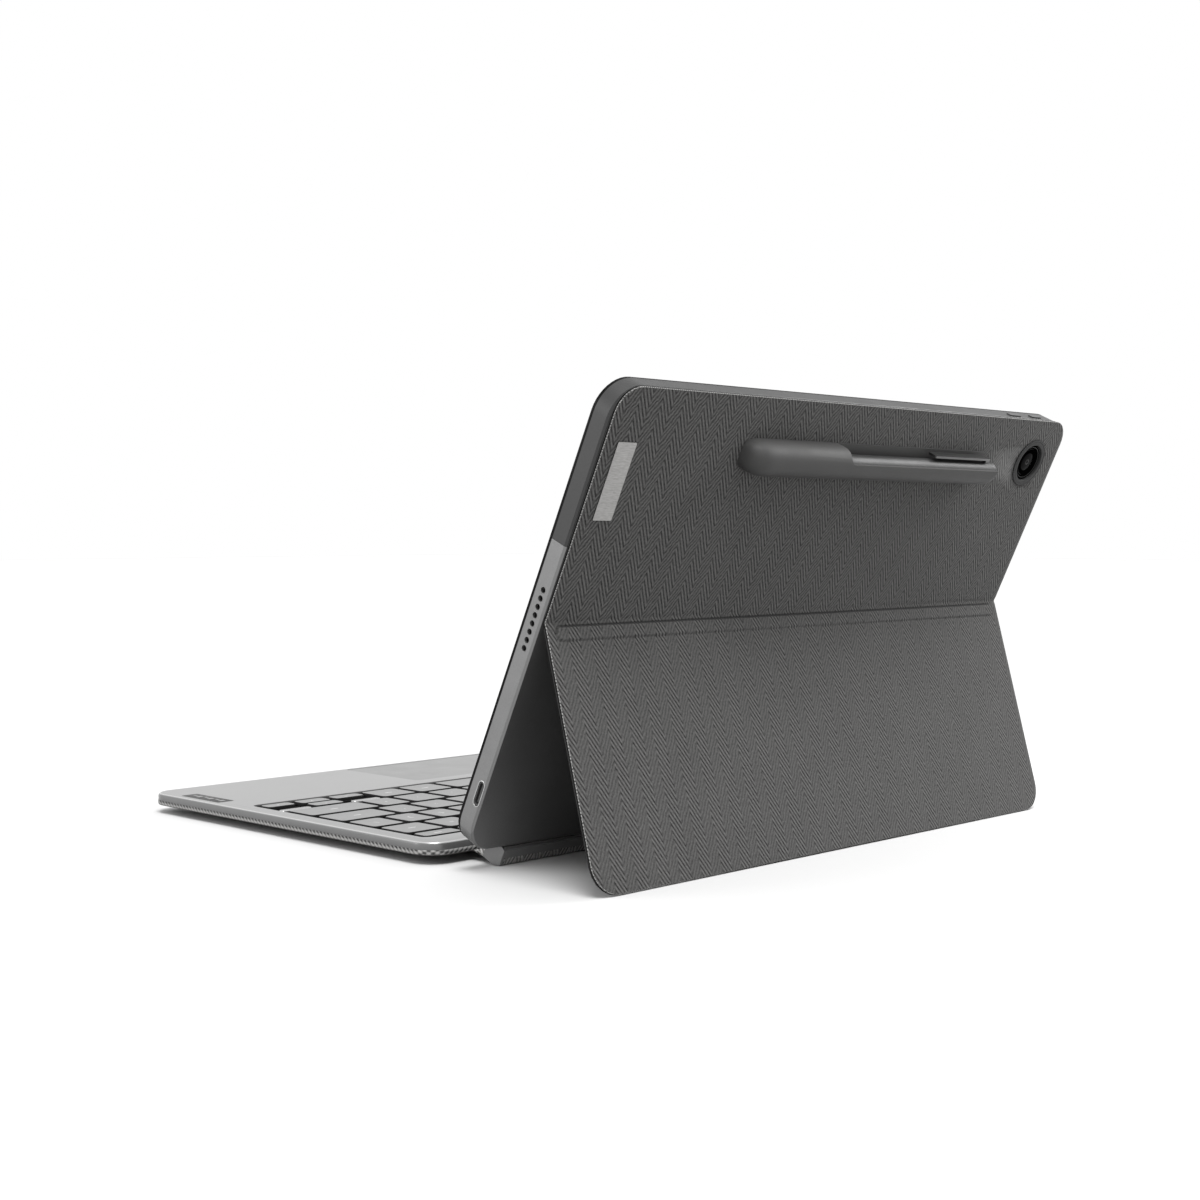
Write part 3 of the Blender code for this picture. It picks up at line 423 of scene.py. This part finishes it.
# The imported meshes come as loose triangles: weld them, and keep only real edges sharp.
WELD_DISTANCE = 0.000005
EDGE_ANGLE = radians(28)
for node in frame["nodes"].values():
    if "custom_normal" in node.data.attributes:
        node.data.attributes.remove(node.data.attributes["custom_normal"])
    node.data.shade_smooth()
    weld = node.modifiers.new("weld", 'WELD')
    weld.merge_threshold = WELD_DISTANCE
    split = node.modifiers.new("edges", 'EDGE_SPLIT')
    split.split_angle = EDGE_ANGLE


# ---- mesh helpers -------------------------------------------------------------------
def add_object(name, data):
    item = bpy.data.objects.new(name, data)
    bpy.context.scene.collection.objects.link(item)
    return item


def make(name, points, faces, finishes, kinds, smooth, uv=None):
    """A mesh piece from points in metres; kinds gives each face's place in finishes."""
    mesh = bpy.data.meshes.new(name)
    mesh.from_pydata([tuple(p) for p in points], [], faces)
    for key in finishes:
        mesh.materials.append(MATERIALS[key])
    mesh.polygons.foreach_set("material_index", kinds)
    if uv:
        layer = mesh.uv_layers.new(name=CLOTH_UV)
        for loop in mesh.loops:
            layer.data[loop.index].uv = uv[loop.vertex_index]
    bm = bmesh.new()
    bm.from_mesh(mesh)
    bmesh.ops.recalc_face_normals(bm, faces=bm.faces)
    bm.to_mesh(mesh)
    bm.free()
    mesh.shade_smooth()
    mesh.set_sharp_from_angle(angle=radians(smooth))
    return add_object(name, mesh)


def lay_flat(piece, place):
    """Gives a cloth piece the flat coordinates that its weave follows."""
    layer = piece.data.uv_layers.new(name=CLOTH_UV)
    for loop in piece.data.loops:
        layer.data[loop.index].uv = place(piece.data.vertices[loop.vertex_index].co)


class Shape:
    """Collects lofts into one mesh piece."""

    def __init__(self, matrix):
        self.matrix = matrix
        self.points, self.faces, self.kinds = [], [], []

    def loft(self, rings, kinds, closed_path=False, cap_kinds=None):
        """Joins rings of points; kinds[i] is the finish between ring i and ring i+1.

        One number stands for all bands. The caps take cap_kinds, or the end bands' finish.
        """
        start = len(self.points)
        size = len(rings[0])
        for ring in rings:
            self.points += [self.matrix @ Vector(p) for p in ring]
        bands = len(rings) if closed_path else len(rings) - 1
        if isinstance(kinds, int):
            kinds = [kinds] * bands
        for band in range(bands):
            low = start + band * size
            high = start + (band + 1) % len(rings) * size
            for k in range(size):
                after = (k + 1) % size
                self.faces.append((low + k, low + after, high + after, high + k))
                self.kinds.append(kinds[band])
        if not closed_path:
            first, last = cap_kinds or (kinds[0], kinds[-1])
            self.faces.append(tuple(start + k for k in reversed(range(size))))
            self.kinds.append(first)
            self.faces.append(tuple(start + (len(rings) - 1) * size + k
                                    for k in range(size)))
            self.kinds.append(last)

    def piece(self, name, finishes, smooth=35):
        return make(name, self.points, self.faces, finishes, self.kinds, smooth)


SMALLEST_RADIUS = 0.05


def rounded(x_low, y_low, x_high, y_high, radius, inset=0.0, steps=5):
    """Points round a rectangle with rounded corners, counter-clockwise."""
    radius = max(radius - inset, SMALLEST_RADIUS)
    x_low, y_low = x_low + inset, y_low + inset
    x_high, y_high = x_high - inset, y_high - inset
    points = []
    for cx, cy, quarter in ((x_high - radius, y_high - radius, 0),
                            (x_low + radius, y_high - radius, 1),
                            (x_low + radius, y_low + radius, 2),
                            (x_high - radius, y_low + radius, 3)):
        for k in range(steps + 1):
            angle = pi / 2 * (quarter + k / steps)
            points.append((cx + radius * cos(angle), cy + radius * sin(angle)))
    return points


def circle(radius, steps, wave=0.0, count=0):
    """Points round a circle, its radius rippled count times by wave."""
    points = []
    for k in range(steps):
        angle = 2 * pi * k / steps
        reach = radius + wave * cos(count * angle)
        points.append((reach * cos(angle), reach * sin(angle)))
    return points


# ---- cover cloth --------------------------------------------------------------------
COVER_HALF = 128.4
COVER_EDGE = 164.5                     # the cover's upper edge, up the tablet's back
COVER_TOP = COVER_EDGE - FOLD_HEIGHT   # the same from the fold
LINING_FACE = 0.05                     # the stand's inner face, outward from the back
# From the fold down to where the stand's inner face meets the table.
STAND_DOWN = (FOLD_POINT.z - (FOLD_DEPTH - LINING_FACE) * sin(STAND)) / cos(STAND)
CLOTH_LOW, CLOTH_HIGH = 1.05 - FOLD_DEPTH, 1.50 - FOLD_DEPTH    # its faces above the axis
CLOTH_BEVEL = 0.16
CORNER_TOP, CORNER_LOW, CORNER_STEPS = 9.0, 10.0, 10
ROW_WIDE, ROW_MIDDLE, ROW_CLOSE = 9.0, 1.0, 0.22
BEND = 1.7                             # the bend takes this much cloth on each side
RIDGE = (-1.5, -6.3)                   # the hinge leaf shows as a raised strip here
RIDGE_HALF = 125.0
RIDGE_HEIGHT = 0.6
GROOVE_UPPER, GROOVE_LOWER = 0.3, 0.14    # depth of the pressed lines along the strip
CAMERA_SPOT = (-110.4, 146.8)
CAMERA_HOLE = 8.45


def smoothstep(t):
    t = min(max(t, 0.0), 1.0)
    return t * t * (3 - 2 * t)


def cloth_point(u, s, n):
    """A point of the cover: s above the fold, n outward, in the row frame."""
    angle = smoothstep((BEND - s) / (2 * BEND)) * (TILT + STAND)
    bent = Matrix.Rotation(angle, 3, 'X') @ Vector((u, n, s))
    return tablet @ (bent + Vector((0, FOLD_DEPTH, FOLD_HEIGHT)))


def ridge(u, s):
    """Height of the embossed strip, with soft walls and rounded ends."""
    middle = (RIDGE[0] + RIDGE[1]) / 2
    half = (RIDGE[0] - RIDGE[1]) / 2
    reach = max(abs(u) - (RIDGE_HALF - half), 0.0)
    distance = sqrt(reach ** 2 + (s - middle) ** 2) - half
    crease = smoothstep((distance + 0.15) / 0.3) - smoothstep((distance - 0.25) / 0.5)
    depth = GROOVE_UPPER if s > middle else GROOVE_LOWER
    return RIDGE_HEIGHT * (1 - smoothstep((distance + 0.6) / 0.55)) - depth * crease


def cover_rows():
    """Places above the fold, from the top edge down, each with the cloth's half width."""
    rows = []
    for k in range(CORNER_STEPS + 1):
        angle = pi / 2 * k / CORNER_STEPS
        rows.append((COVER_TOP - CORNER_TOP + CORNER_TOP * cos(angle),
                     COVER_HALF - CORNER_TOP + CORNER_TOP * sin(angle)))
    s = 66.0
    while s > 12:
        rows.append((s, COVER_HALF))
        s -= ROW_WIDE
    s = 6.0
    while s > -9.0:                    # close rows over the bend and the raised strip
        rows.append((s, COVER_HALF))
        s -= ROW_CLOSE if s < 2.6 else ROW_MIDDLE
    s = -12.0
    while s > -STAND_DOWN + 14:
        rows.append((s, COVER_HALF))
        s -= ROW_WIDE
    for k in range(CORNER_STEPS + 1):
        angle = pi / 2 * (1 - k / CORNER_STEPS)
        rows.append((-STAND_DOWN + CORNER_LOW - CORNER_LOW * cos(angle),
                     COVER_HALF - CORNER_LOW + CORNER_LOW * sin(angle)))
    return rows


def cover_columns():
    """Places across the cloth, close together at the raised strip's round ends."""
    half = [0.0, 40.0, 80.0, 110.0, 118.0, 121.0] + [121.8 + 0.35 * k for k in range(16)]
    half = [u for u in half if u < COVER_HALF - 0.5] + [COVER_HALF]
    return [-u for u in reversed(half[1:])] + half


def cover_cloth():
    """One cloth over both panels: two faces and a bevelled rim between them."""
    rows, lines = cover_rows(), cover_columns()
    columns, total = len(lines), len(rows)
    points, faces, kinds, uv = [], [], [], []

    def layer(height, inset):
        start = len(points)
        for s, half in rows:
            if s > 0:
                pull_s = s - inset * (s / COVER_TOP) ** 8
            else:
                pull_s = s + inset * (-s / STAND_DOWN) ** 8
            for line in lines:
                u = line * half / COVER_HALF
                pull_u = u * (1 - inset / half)
                points.append(cloth_point(pull_u, pull_s, height + ridge(u, s)))
                uv.append((u * MM, s * MM))
        return start

    outer = layer(CLOTH_HIGH, CLOTH_BEVEL)
    inner = layer(CLOTH_LOW, CLOTH_BEVEL)
    rim_high = layer(CLOTH_HIGH - CLOTH_BEVEL, 0.0)
    rim_low = layer(CLOTH_LOW + CLOTH_BEVEL, 0.0)
    for r in range(total - 1):
        for c in range(columns - 1):
            a = r * columns + c
            faces.append(tuple(outer + q for q in (a, a + 1, a + columns + 1, a + columns)))
            faces.append(tuple(inner + q for q in (a, a + columns, a + columns + 1, a + 1)))
            kinds += [0, 0]
    border = (list(range(columns))
              + [r * columns + columns - 1 for r in range(1, total)]
              + [(total - 1) * columns + c for c in range(columns - 2, -1, -1)]
              + [r * columns for r in range(total - 2, 0, -1)])
    for first, second in ((outer, rim_high), (rim_high, rim_low), (rim_low, inner)):
        for a, b in zip(border, border[1:] + border[:1]):
            faces.append((first + a, first + b, second + b, second + a))
            kinds.append(1)
    piece = make("cover_cloth", points, faces, ["cloth", "cloth_edge"], kinds, 50, uv)
    # Only the border of the two rim layers is used.
    bm = bmesh.new()
    bm.from_mesh(piece.data)
    loose = [v for v in bm.verts if not v.link_faces]
    bmesh.ops.delete(bm, geom=loose, context='VERTS')
    bm.to_mesh(piece.data)
    bm.free()
    return piece


def cut_round_hole(piece, matrix, centre, radius):
    """Cuts a round hole along the frame's outward axis."""
    shape = Shape(matrix)
    ring = [(centre[0] + x, centre[1] + z) for x, z in circle(radius, 48)]
    shape.loft([[(x, depth, z) for x, z in ring] for depth in (-3.0, 5.0)], 0)
    tool = shape.piece("hole_tool", ["cloth_edge"])
    cut = piece.modifiers.new("hole", 'BOOLEAN')
    cut.operation = 'DIFFERENCE'
    cut.solver = 'EXACT'
    cut.object = tool
    depsgraph = bpy.context.evaluated_depsgraph_get()
    mesh = bpy.data.meshes.new_from_object(piece.evaluated_get(depsgraph))
    piece.modifiers.clear()
    piece.data = mesh
    bpy.data.objects.remove(tool)


cloth = cover_cloth()
cut_round_hole(cloth, tablet, CAMERA_SPOT, CAMERA_HOLE)
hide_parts("cover_fabric", "kickstand_fabric")
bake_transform(cloth)

# ---- keys ---------------------------------------------------------------------------
RIGHT = 120.6                          # the key field's right end
KEY_GAP = 2.0
TRIM = 0.14                            # the caps are this much inside the CAD keys
DECK = 7.6                             # the deck's top
BAR = "-bar"                           # a key mark that is a short bar
# A cap's straight skirt, rolled edge and shallow dish, as (inset, height).
CAP_PROFILE = ((0.0, 6.45), (0.0, 7.2), (0.1, 7.45), (0.36, 7.6), (0.8, 7.58), (1.7, 7.5))
CAP_CORNER = 1.9
WEB_HEIGHTS, WEB_MARGIN = (6.4, 6.8), 1.5    # the thin plate that joins a row's caps
BAR_HEIGHTS, BAR_SIZE = (7.3, 7.53), (1.7, 0.28)
LETTER_HEIGHT, LETTER_HALF_DEPTH = 7.43, 0.1


def cap(shape, x_low, y_low, x_high, y_high):
    """One key cap, sides in finish 1 and top in finish 0."""
    rings = [[(x, y, z) for x, y in
              rounded(x_low, y_low, x_high, y_high, CAP_CORNER, inset, 4)]
             for inset, z in CAP_PROFILE]
    shape.loft(rings, [1, 1, 1, 0, 0], cap_kinds=(1, 0))


def legend_mesh(shape, text, x, y, size):
    """A raised mark on a key, in finish 2: a single character or a short bar."""
    if text == BAR:
        wide, deep = BAR_SIZE
        rings = [[(px, py, z) for px, py in
                  rounded(x - wide, y - deep, x + wide, y + deep, 0.25)]
                 for z in BAR_HEIGHTS]
        shape.loft(rings, 2)
        return
    curve = bpy.data.curves.new("mark", 'FONT')
    curve.body = text
    curve.size = size
    curve.align_x, curve.align_y = 'CENTER', 'CENTER'
    curve.extrude = LETTER_HALF_DEPTH
    curve.resolution_u = 2
    letter = add_object("mark", curve)
    bpy.context.view_layer.update()
    mesh = bpy.data.meshes.new_from_object(
        letter.evaluated_get(bpy.context.evaluated_depsgraph_get()))
    start = len(shape.points)
    place = Vector((x, y, LETTER_HEIGHT))
    shape.points += [shape.matrix @ (v.co + place) for v in mesh.vertices]
    for face in mesh.polygons:
        shape.faces.append(tuple(start + v for v in face.vertices))
        shape.kinds.append(2)
    bpy.data.objects.remove(letter)
    bpy.data.curves.remove(curve)
    bpy.data.meshes.remove(mesh)


def key_row(name, pitches, legends, edge):
    """Detailed caps for one CAD key node, from its right edge and in its own box."""
    low, high = box_mm(name)
    shape = Shape(desk)
    size = 3.4 if high[1] - low[1] > 10 else 2.4
    for pitch, legend in zip(pitches, legends):
        x_low, x_high = edge - pitch + KEY_GAP / 2, edge - KEY_GAP / 2
        cap(shape, x_low + TRIM, low[1] + TRIM, x_high - TRIM, high[1] - TRIM)
        if legend:
            legend_mesh(shape, legend, (x_low + x_high) / 2, (low[1] + high[1]) / 2, size)
        edge -= pitch
    web = [[(x, y, z) for x, y in
            rounded(low[0] + WEB_MARGIN, low[1] + WEB_MARGIN,
                    high[0] - WEB_MARGIN, high[1] - WEB_MARGIN, 0.5)]
           for z in WEB_HEIGHTS]
    shape.loft(web, 1)
    piece = shape.piece("caps_" + name, ["cap", "cap_side", "legend"], 30)
    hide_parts(name)
    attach(piece, name)


FIRST_KEY = 19.6
OTHER_KEY = (2 * RIGHT - FIRST_KEY) / 13
# Widths and marks from right to left; what is left of a row is its last key.
KEY_ROWS = {
    "function_row": ([FIRST_KEY] + [OTHER_KEY] * 13, [BAR] * 14),
    "number_row": ([FIRST_KEY] + [OTHER_KEY] * 13, [BAR] + list("=-0987654321") + ["`"]),
    "tab_row": ([16.5, 15.2, 14.8] + [17.8] * 10, list("\\][POIUYTREWQ") + [BAR]),
    "home_row": ([27.7, 15.5] + [17.8] * 10, [BAR, "'"] + list(";LKJHGFDSA") + [BAR]),
    "shift_row": ([34.2, 15.3] + [17.8] * 9, [BAR] + list("/.,MNBVCXZ") + [BAR]),
}
for row, (pitches, legends) in KEY_ROWS.items():
    rest = 2 * RIGHT - sum(pitches)
    if rest > 1:
        pitches = pitches + [rest]
    key_row(row, pitches, legends, RIGHT)
for row, pitches, legends in (
        ("arrow_right_key", [15.3], [">"]), ("arrow_up_key", [16.3], ["^"]),
        ("arrow_down_key", [16.3], ["v"]), ("arrow_left_key", [16.6], ["<"]),
        ("bottom_row_right", [19.0, 19.1], [BAR] * 2), ("space_bar", [97.5], [""])):
    key_row(row, pitches, legends, box_mm(row)[1][0] + KEY_GAP / 2)
low, high = box_mm("bottom_row_left")
third = (high[0] - low[0] + KEY_GAP) / 3
key_row("bottom_row_left", [third] * 3, [BAR] * 3, high[0] + KEY_GAP / 2)

# ---- key plate with silver ledges ---------------------------------------------------
low, high = box_mm("key_plate")
shape = Shape(desk)
shape.loft([[(x, y, z) for x, y in rounded(low[0], low[1], high[0], high[1], 3.0)]
            for z in (low[2], low[2] + 0.5)], 0)
rear = box_mm("arrow_up_key")[1][1] + KEY_GAP / 2
LEDGES = ((107.2, 120.8), (74.2, 87.3))    # from and to, behind the two side arrow keys
for x_low, x_high in LEDGES:
    rings = [[(x, y, z) for x, y in rounded(x_low, rear - 2.5, x_high, rear + 0.4, 0.9,
                                            inset, 3)]
             for inset, z in ((0, low[2] + 0.45), (0, DECK - 0.25), (0.25, DECK))]
    shape.loft(rings, [1, 1], cap_kinds=(1, 1))
plate = shape.piece("key_bed", ["pit", "deck"])
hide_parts("key_plate")
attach(plate, "keyboard")

# ---- skin of the dock and the keyboard ----------------------------------------------
SKIN_TOP = -4.1                        # the cloth's upper edge on the dock's rear face
SKIN_THICKNESS = 0.45
DOCK_HALF = 110.1
HINGE_ROWS = 6


def dock_profile():
    """The cloth's two faces, from the dock's lip round its foot to the hinge, as (y, z)."""
    def from_tablet(w, v):
        p = tablet @ Vector((0, w, v)) / MM
        return (p.y, p.z)

    def over_table(w, rise, clear=0.0):
        v = (w * sin(TILT) - BACK_EDGE[2] + clear) / cos(TILT) + rise
        return from_tablet(w, v)

    outer = [from_tablet(0.8, SKIN_TOP), over_table(0.8, 0.5), over_table(0.55, 0.0, 0.12),
             over_table(-0.2, 0.0, 0.02), over_table(-2.0, 0.0, 0.02),
             from_tablet(-2.6, -8.35), from_tablet(-7.6, -8.94), from_tablet(-12.25, -9.95)]
    inner = [from_tablet(0.36, SKIN_TOP), over_table(0.36, 0.75), over_table(0.2, 0.62),
             over_table(-0.3, 0.5), over_table(-2.1, 0.5),
             from_tablet(-2.7, -7.83), from_tablet(-7.7, -8.44), from_tablet(-12.25, -9.33)]
    return outer, inner


outer, inner = dock_profile()
skin_low, skin_high = box_mm("keyboard_fabric")
skin_floor, skin_roof = skin_low[2], skin_low[2] + SKIN_THICKNESS
y_dock, z_outer = outer[-1]
z_inner = inner[-1][1]
y_keys = PIVOT_Y - 0.7
for k in range(1, HINGE_ROWS + 1):
    share = k / HINGE_ROWS
    y = y_dock + (y_keys - y_dock) * share
    outer.append((y, z_outer + (skin_floor - z_outer) * share))
    inner.append((y, z_inner + (skin_roof - z_inner) * share))
deck_rear = box_mm("keyboard_deck")[1][1]
for y in (PIVOT_Y - 1.0, deck_rear + 0.1):
    outer.append((y, skin_floor))
    inner.append((y, skin_roof))
shape = Shape(desk)
around = list(zip(outer, inner)) + list(zip(inner, outer))[::-1]
rings = []
for x in (-DOCK_HALF, -DOCK_HALF + 0.25, -60.0, 0.0, 60.0, DOCK_HALF - 0.25, DOCK_HALF):
    squeeze = 0.12 if abs(x) == DOCK_HALF else 0.0
    rings.append([(x, a[0] + (b[0] - a[0]) * squeeze, a[1] + (b[1] - a[1]) * squeeze)
                  for a, b in around])
shape.loft(rings, [1, 0, 0, 0, 0, 1], cap_kinds=(1, 1))
# This cloth takes the dock's lighter cloth, painted light for the shade it sits in.
skin = shape.piece("hinge_cloth", ["dock_cloth_painted_light", "skin_edge"], 50)
lay_flat(skin, lambda p: (p.x, p.y - p.z))
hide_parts("dock_fabric")
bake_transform(skin)

# The keyboard's own skin: a tray of cloth under the base whose rim comes up to the deck.
front, half = skin_low[1], skin_high[0]
rim_profile = [(1.1, 3.45), (0.72, 3.62), (0.55, 3.9), (0.5, 4.24), (0.2, 4.5), (0.02, 4.9),
               (-0.05, 4.94), (-0.12, 4.8), (-0.14, 4.2), (-0.1, 3.7), (0.0, 3.35),
               (0.25, 3.08), (0.7, 3.0)]
shape = Shape(desk)
rings = [[(x, y, z) for x, y in rounded(-half, front, half, deck_rear, 9.0, inset, 10)]
         for inset, z in rim_profile]
shape.loft(rings, [1] * (len(rings) - 3) + [0, 0], cap_kinds=(0, 0))
tray = shape.piece("keyboard_skin", ["skin", "skin_edge"], 50)
lay_flat(tray, lambda p: (p.x, p.y))
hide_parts("keyboard_fabric")
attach(tray, "keyboard")


# ---- small parts --------------------------------------------------------------------
def lathe(shape, centre, profile, kinds, steps=64, closed=False):
    """Turns a profile of (radius, outward, ripple) round an axis out of the back."""
    rings = []
    for radius, out, *ripple in profile:
        wave, count = ripple or (0.0, 0)
        rings.append([(centre[0] + x, out, centre[1] + z)
                      for x, z in circle(radius, steps, wave, count)])
    shape.loft(rings, kinds, closed_path=closed)


# The camera: a rim, three steps down, and a domed glass with a coated ring round its middle.
shape = Shape(tablet)
profile = [(7.05, -0.9), (7.05, 0.95), (6.93, 1.1), (6.45, 1.14), (6.25, 1.0),
           (6.15, 0.96), (5.5, 0.7), (5.4, 0.76), (4.7, 0.5), (4.6, 0.58), (4.3, 0.42),
           (3.6, 0.66), (2.4, 0.84), (1.25, 0.92), (1.1, 0.9), (0.8, 0.9), (0.7, 0.94),
           (0.15, 0.95)]
lathe(shape, CAMERA_SPOT, profile, [0, 0, 0, 1, 0, 0, 1, 0, 0, 0, 0, 2, 2, 2, 3, 3, 2])
eye = shape.piece("camera_eye", ["eye", "glint", "lens", "glint"], 40)
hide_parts("camera_bezel", "camera_lens")
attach(eye, "tablet")

# The soft collar round the camera opening, stitched at its foot.
shape = Shape(tablet)
stitches = 64
profile = [(9.6, 1.56, 0.14, stitches), (9.65, 1.84, 0.18, stitches),
           (9.4, 2.0, 0.12, stitches), (9.1, 1.97, 0.05, stitches), (8.95, 1.86), (8.85, 1.86),
           (8.65, 1.98), (7.85, 1.99), (7.5, 1.9), (7.41, 1.7), (7.41, 0.15), (8.27, 0.15),
           (8.27, 1.56)]
lathe(shape, CAMERA_SPOT, profile, 0, 384, True)
collar = shape.piece("camera_collar", ["collar"], 40)
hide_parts("camera_ring")
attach(collar, "stand_cover")

side = box_mm("back_shell")[1][0]
PORT_DEPTH, PORT_HEIGHT = -2.1, 21.7
PORT_HALF_DEPTH, PORT_HALF_HEIGHT = 1.32, 4.4
shape = Shape(tablet)
rings = []
for grow, out in ((0.3, -0.2), (0.3, 0.02), (0.22, 0.06), (0.02, 0.04), (-0.06, -0.15),
                  (-0.06, -0.6)):
    depth, height = PORT_HALF_DEPTH + grow, PORT_HALF_HEIGHT + grow
    rings.append([(side + out, PORT_DEPTH + w, PORT_HEIGHT + v)
                  for w, v in rounded(-depth, -height, depth, height, 1.3 + grow)])
shape.loft(rings, 0, closed_path=True)
port = shape.piece("port_rim", ["metal_rim"], 40)
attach(port, "tablet")

SPEAKER_HOLES, SPEAKER_PITCH = 8, 2.9
SPEAKER_DEPTH, SPEAKER_LOWEST = -3.2, 74.2
shape = Shape(tablet)
for direction in (1, -1):
    for hole in range(SPEAKER_HOLES):
        height = SPEAKER_LOWEST + SPEAKER_PITCH * hole
        rings = []
        for radius, out in ((1.2, -0.15), (1.2, 0.01), (1.14, 0.03), (1.04, 0.0),
                            (1.0, -0.15), (1.0, -0.5)):
            rings.append([(direction * (side + out), SPEAKER_DEPTH + a, height + b)
                          for a, b in circle(radius, 20)])
        shape.loft(rings, 0, closed_path=True)
grille = shape.piece("speaker_rims", ["metal"], 40)
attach(grille, "tablet")

# The thin dark line between the glass and the casing.
GLASS_FRONT, GLASS_BACK = -7.9, -7.1
GASKET_TOP, GASKET_CORNER, GASKET_THICKNESS = 164.3, 11.5, 0.68
gasket_front = GLASS_BACK - 0.02
shape = Shape(tablet)
rings = [[(x, w, v) for x, v in
          rounded(-side, 0.0, side, GASKET_TOP, GASKET_CORNER, inset, 10)]
         for inset, w in ((0.9, gasket_front), (-0.03, gasket_front),
                          (-0.03, gasket_front + GASKET_THICKNESS),
                          (0.9, gasket_front + GASKET_THICKNESS))]
shape.loft(rings, 0, closed_path=True)
gasket = shape.piece("glass_gasket", ["black"], 30)
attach(gasket, "tablet")

# The lit part of the screen, and the front camera's spot above it.
SCREEN_HALF, SCREEN_LOW, SCREEN_HIGH, SCREEN_CORNER = 122.0, 7.4, 157.0, 5.0
FRONT_CAMERA = (0.0, 160.7)
shape = Shape(tablet)
rings = [[(x, GLASS_FRONT - out, v) for x, v in
          rounded(-SCREEN_HALF, SCREEN_LOW, SCREEN_HALF, SCREEN_HIGH, SCREEN_CORNER, inset)]
         for inset, out in ((0.0, -0.1), (0.0, 0.004), (0.02, 0.012))]
shape.loft(rings, 0)
spot = [(radius, GLASS_FRONT - out)
        for radius, out in ((1.5, -0.1), (1.5, 0.01), (1.2, 0.02), (0.3, 0.02))]
lathe(shape, FRONT_CAMERA, spot, 1, 32)
screen = shape.piece("screen_area", ["active", "lens"], 30)
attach(screen, "tablet")

# A plain label on the deck, with a row of dashes on it, every other one longer.
LABEL_LEFT, LABEL_RIGHT = 118.6, 126.0
LABEL_FRONT, LABEL_REAR = 18.0, 44.0   # from the deck's front edge
DASHES, DASH_PITCH, DASH_LEFT = 6, 3.8, 121.0
deck_front = box_mm("keyboard_deck")[0][1]
shape = Shape(desk)
rings = [[(x, y, z) for x, y in
          rounded(LABEL_LEFT, deck_front + LABEL_FRONT, LABEL_RIGHT, deck_front + LABEL_REAR,
                  0.8, inset)]
         for inset, z in ((0, DECK - 0.1), (0, DECK + 0.02), (0.05, DECK + 0.04))]
shape.loft(rings, 0)
for k in range(DASHES):
    y = deck_front + LABEL_FRONT + 2.5 + DASH_PITCH * k
    dash_right = DASH_LEFT + 1.2 + 1.2 * (k % 2)
    rings = [[(px, py, z) for px, py in rounded(DASH_LEFT, y, dash_right, y + 2.2, 0.3)]
             for z in (DECK, DECK + 0.06)]
    shape.loft(rings, 1)
label = shape.piece("deck_label", ["label", "pad"], 30)
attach(label, "keyboard")

# ---- stage, light and camera --------------------------------------------------------
FLOOR_REACH, FLOOR_DROP, FLOOR_GREY = 6.0, 0.0002, 0.5
SUN_DIRECTION = (-0.25, -0.38, -1.0)
CAMERA_PLACE = (0.51127, 0.49426, 0.11104)
CAMERA_LENS, CAMERA_DIP, CAMERA_HEADING = 53.55, 2.15, 134.33    # mm, degrees, degrees


def turned_to(direction):
    return Vector(direction).to_track_quat('-Z', 'Y').to_euler()


floor_mesh = bpy.data.meshes.new("floor")
corners = [(x * FLOOR_REACH, y * FLOOR_REACH, 0)
           for x, y in ((-1, -1), (1, -1), (1, 1), (-1, 1))]
floor_mesh.from_pydata(corners, [], [(0, 1, 2, 3)])
floor_look = Nodes("floor_paper")
floor_look.set(Base_Color=(FLOOR_GREY, FLOOR_GREY, FLOOR_GREY, 1.0), Roughness=0.9)
floor_mesh.materials.append(floor_look.material)
floor = add_object("floor", floor_mesh)
floor.location.z = -FLOOR_DROP

world = bpy.data.worlds.new("studio")
bpy.context.scene.world = world
world.use_nodes = True
background = world.node_tree.nodes["Background"]
background.inputs["Color"].default_value = (1.0, 1.0, 1.0, 1.0)
background.inputs["Strength"].default_value = 1.0
bpy.context.scene.view_settings.view_transform = 'Standard'


def area_light(name, place, target, size, power):
    light = bpy.data.lights.new(name, 'AREA')
    light.shape = 'RECTANGLE'
    light.size, light.size_y = size
    light.energy = power
    lamp = add_object(name, light)
    lamp.location = place
    lamp.rotation_euler = turned_to(Vector(target) - Vector(place))


sky = bpy.data.lights.new("sky_panel", 'SUN')
sky.energy = 3.6
sky.angle = radians(34)
add_object("sky_panel", sky).rotation_euler = turned_to(SUN_DIRECTION)
area_light("end_light", (-0.3, 0.26, 0.32), (-0.09, 0.07, 0.03), (0.16, 0.16), 0.9)
area_light("side_light", (1.1, -0.55, 0.5), (0, 0, 0.08), (0.5, 0.6), 4.0)

camera_data = bpy.data.cameras.new("view")
camera_data.lens = CAMERA_LENS
camera_data.sensor_width = 36.0
camera_data.clip_start = 0.01
camera = add_object("view", camera_data)
camera.location = CAMERA_PLACE
camera.rotation_euler = (radians(90 - CAMERA_DIP), 0.0, radians(CAMERA_HEADING))
bpy.context.scene.camera = camera
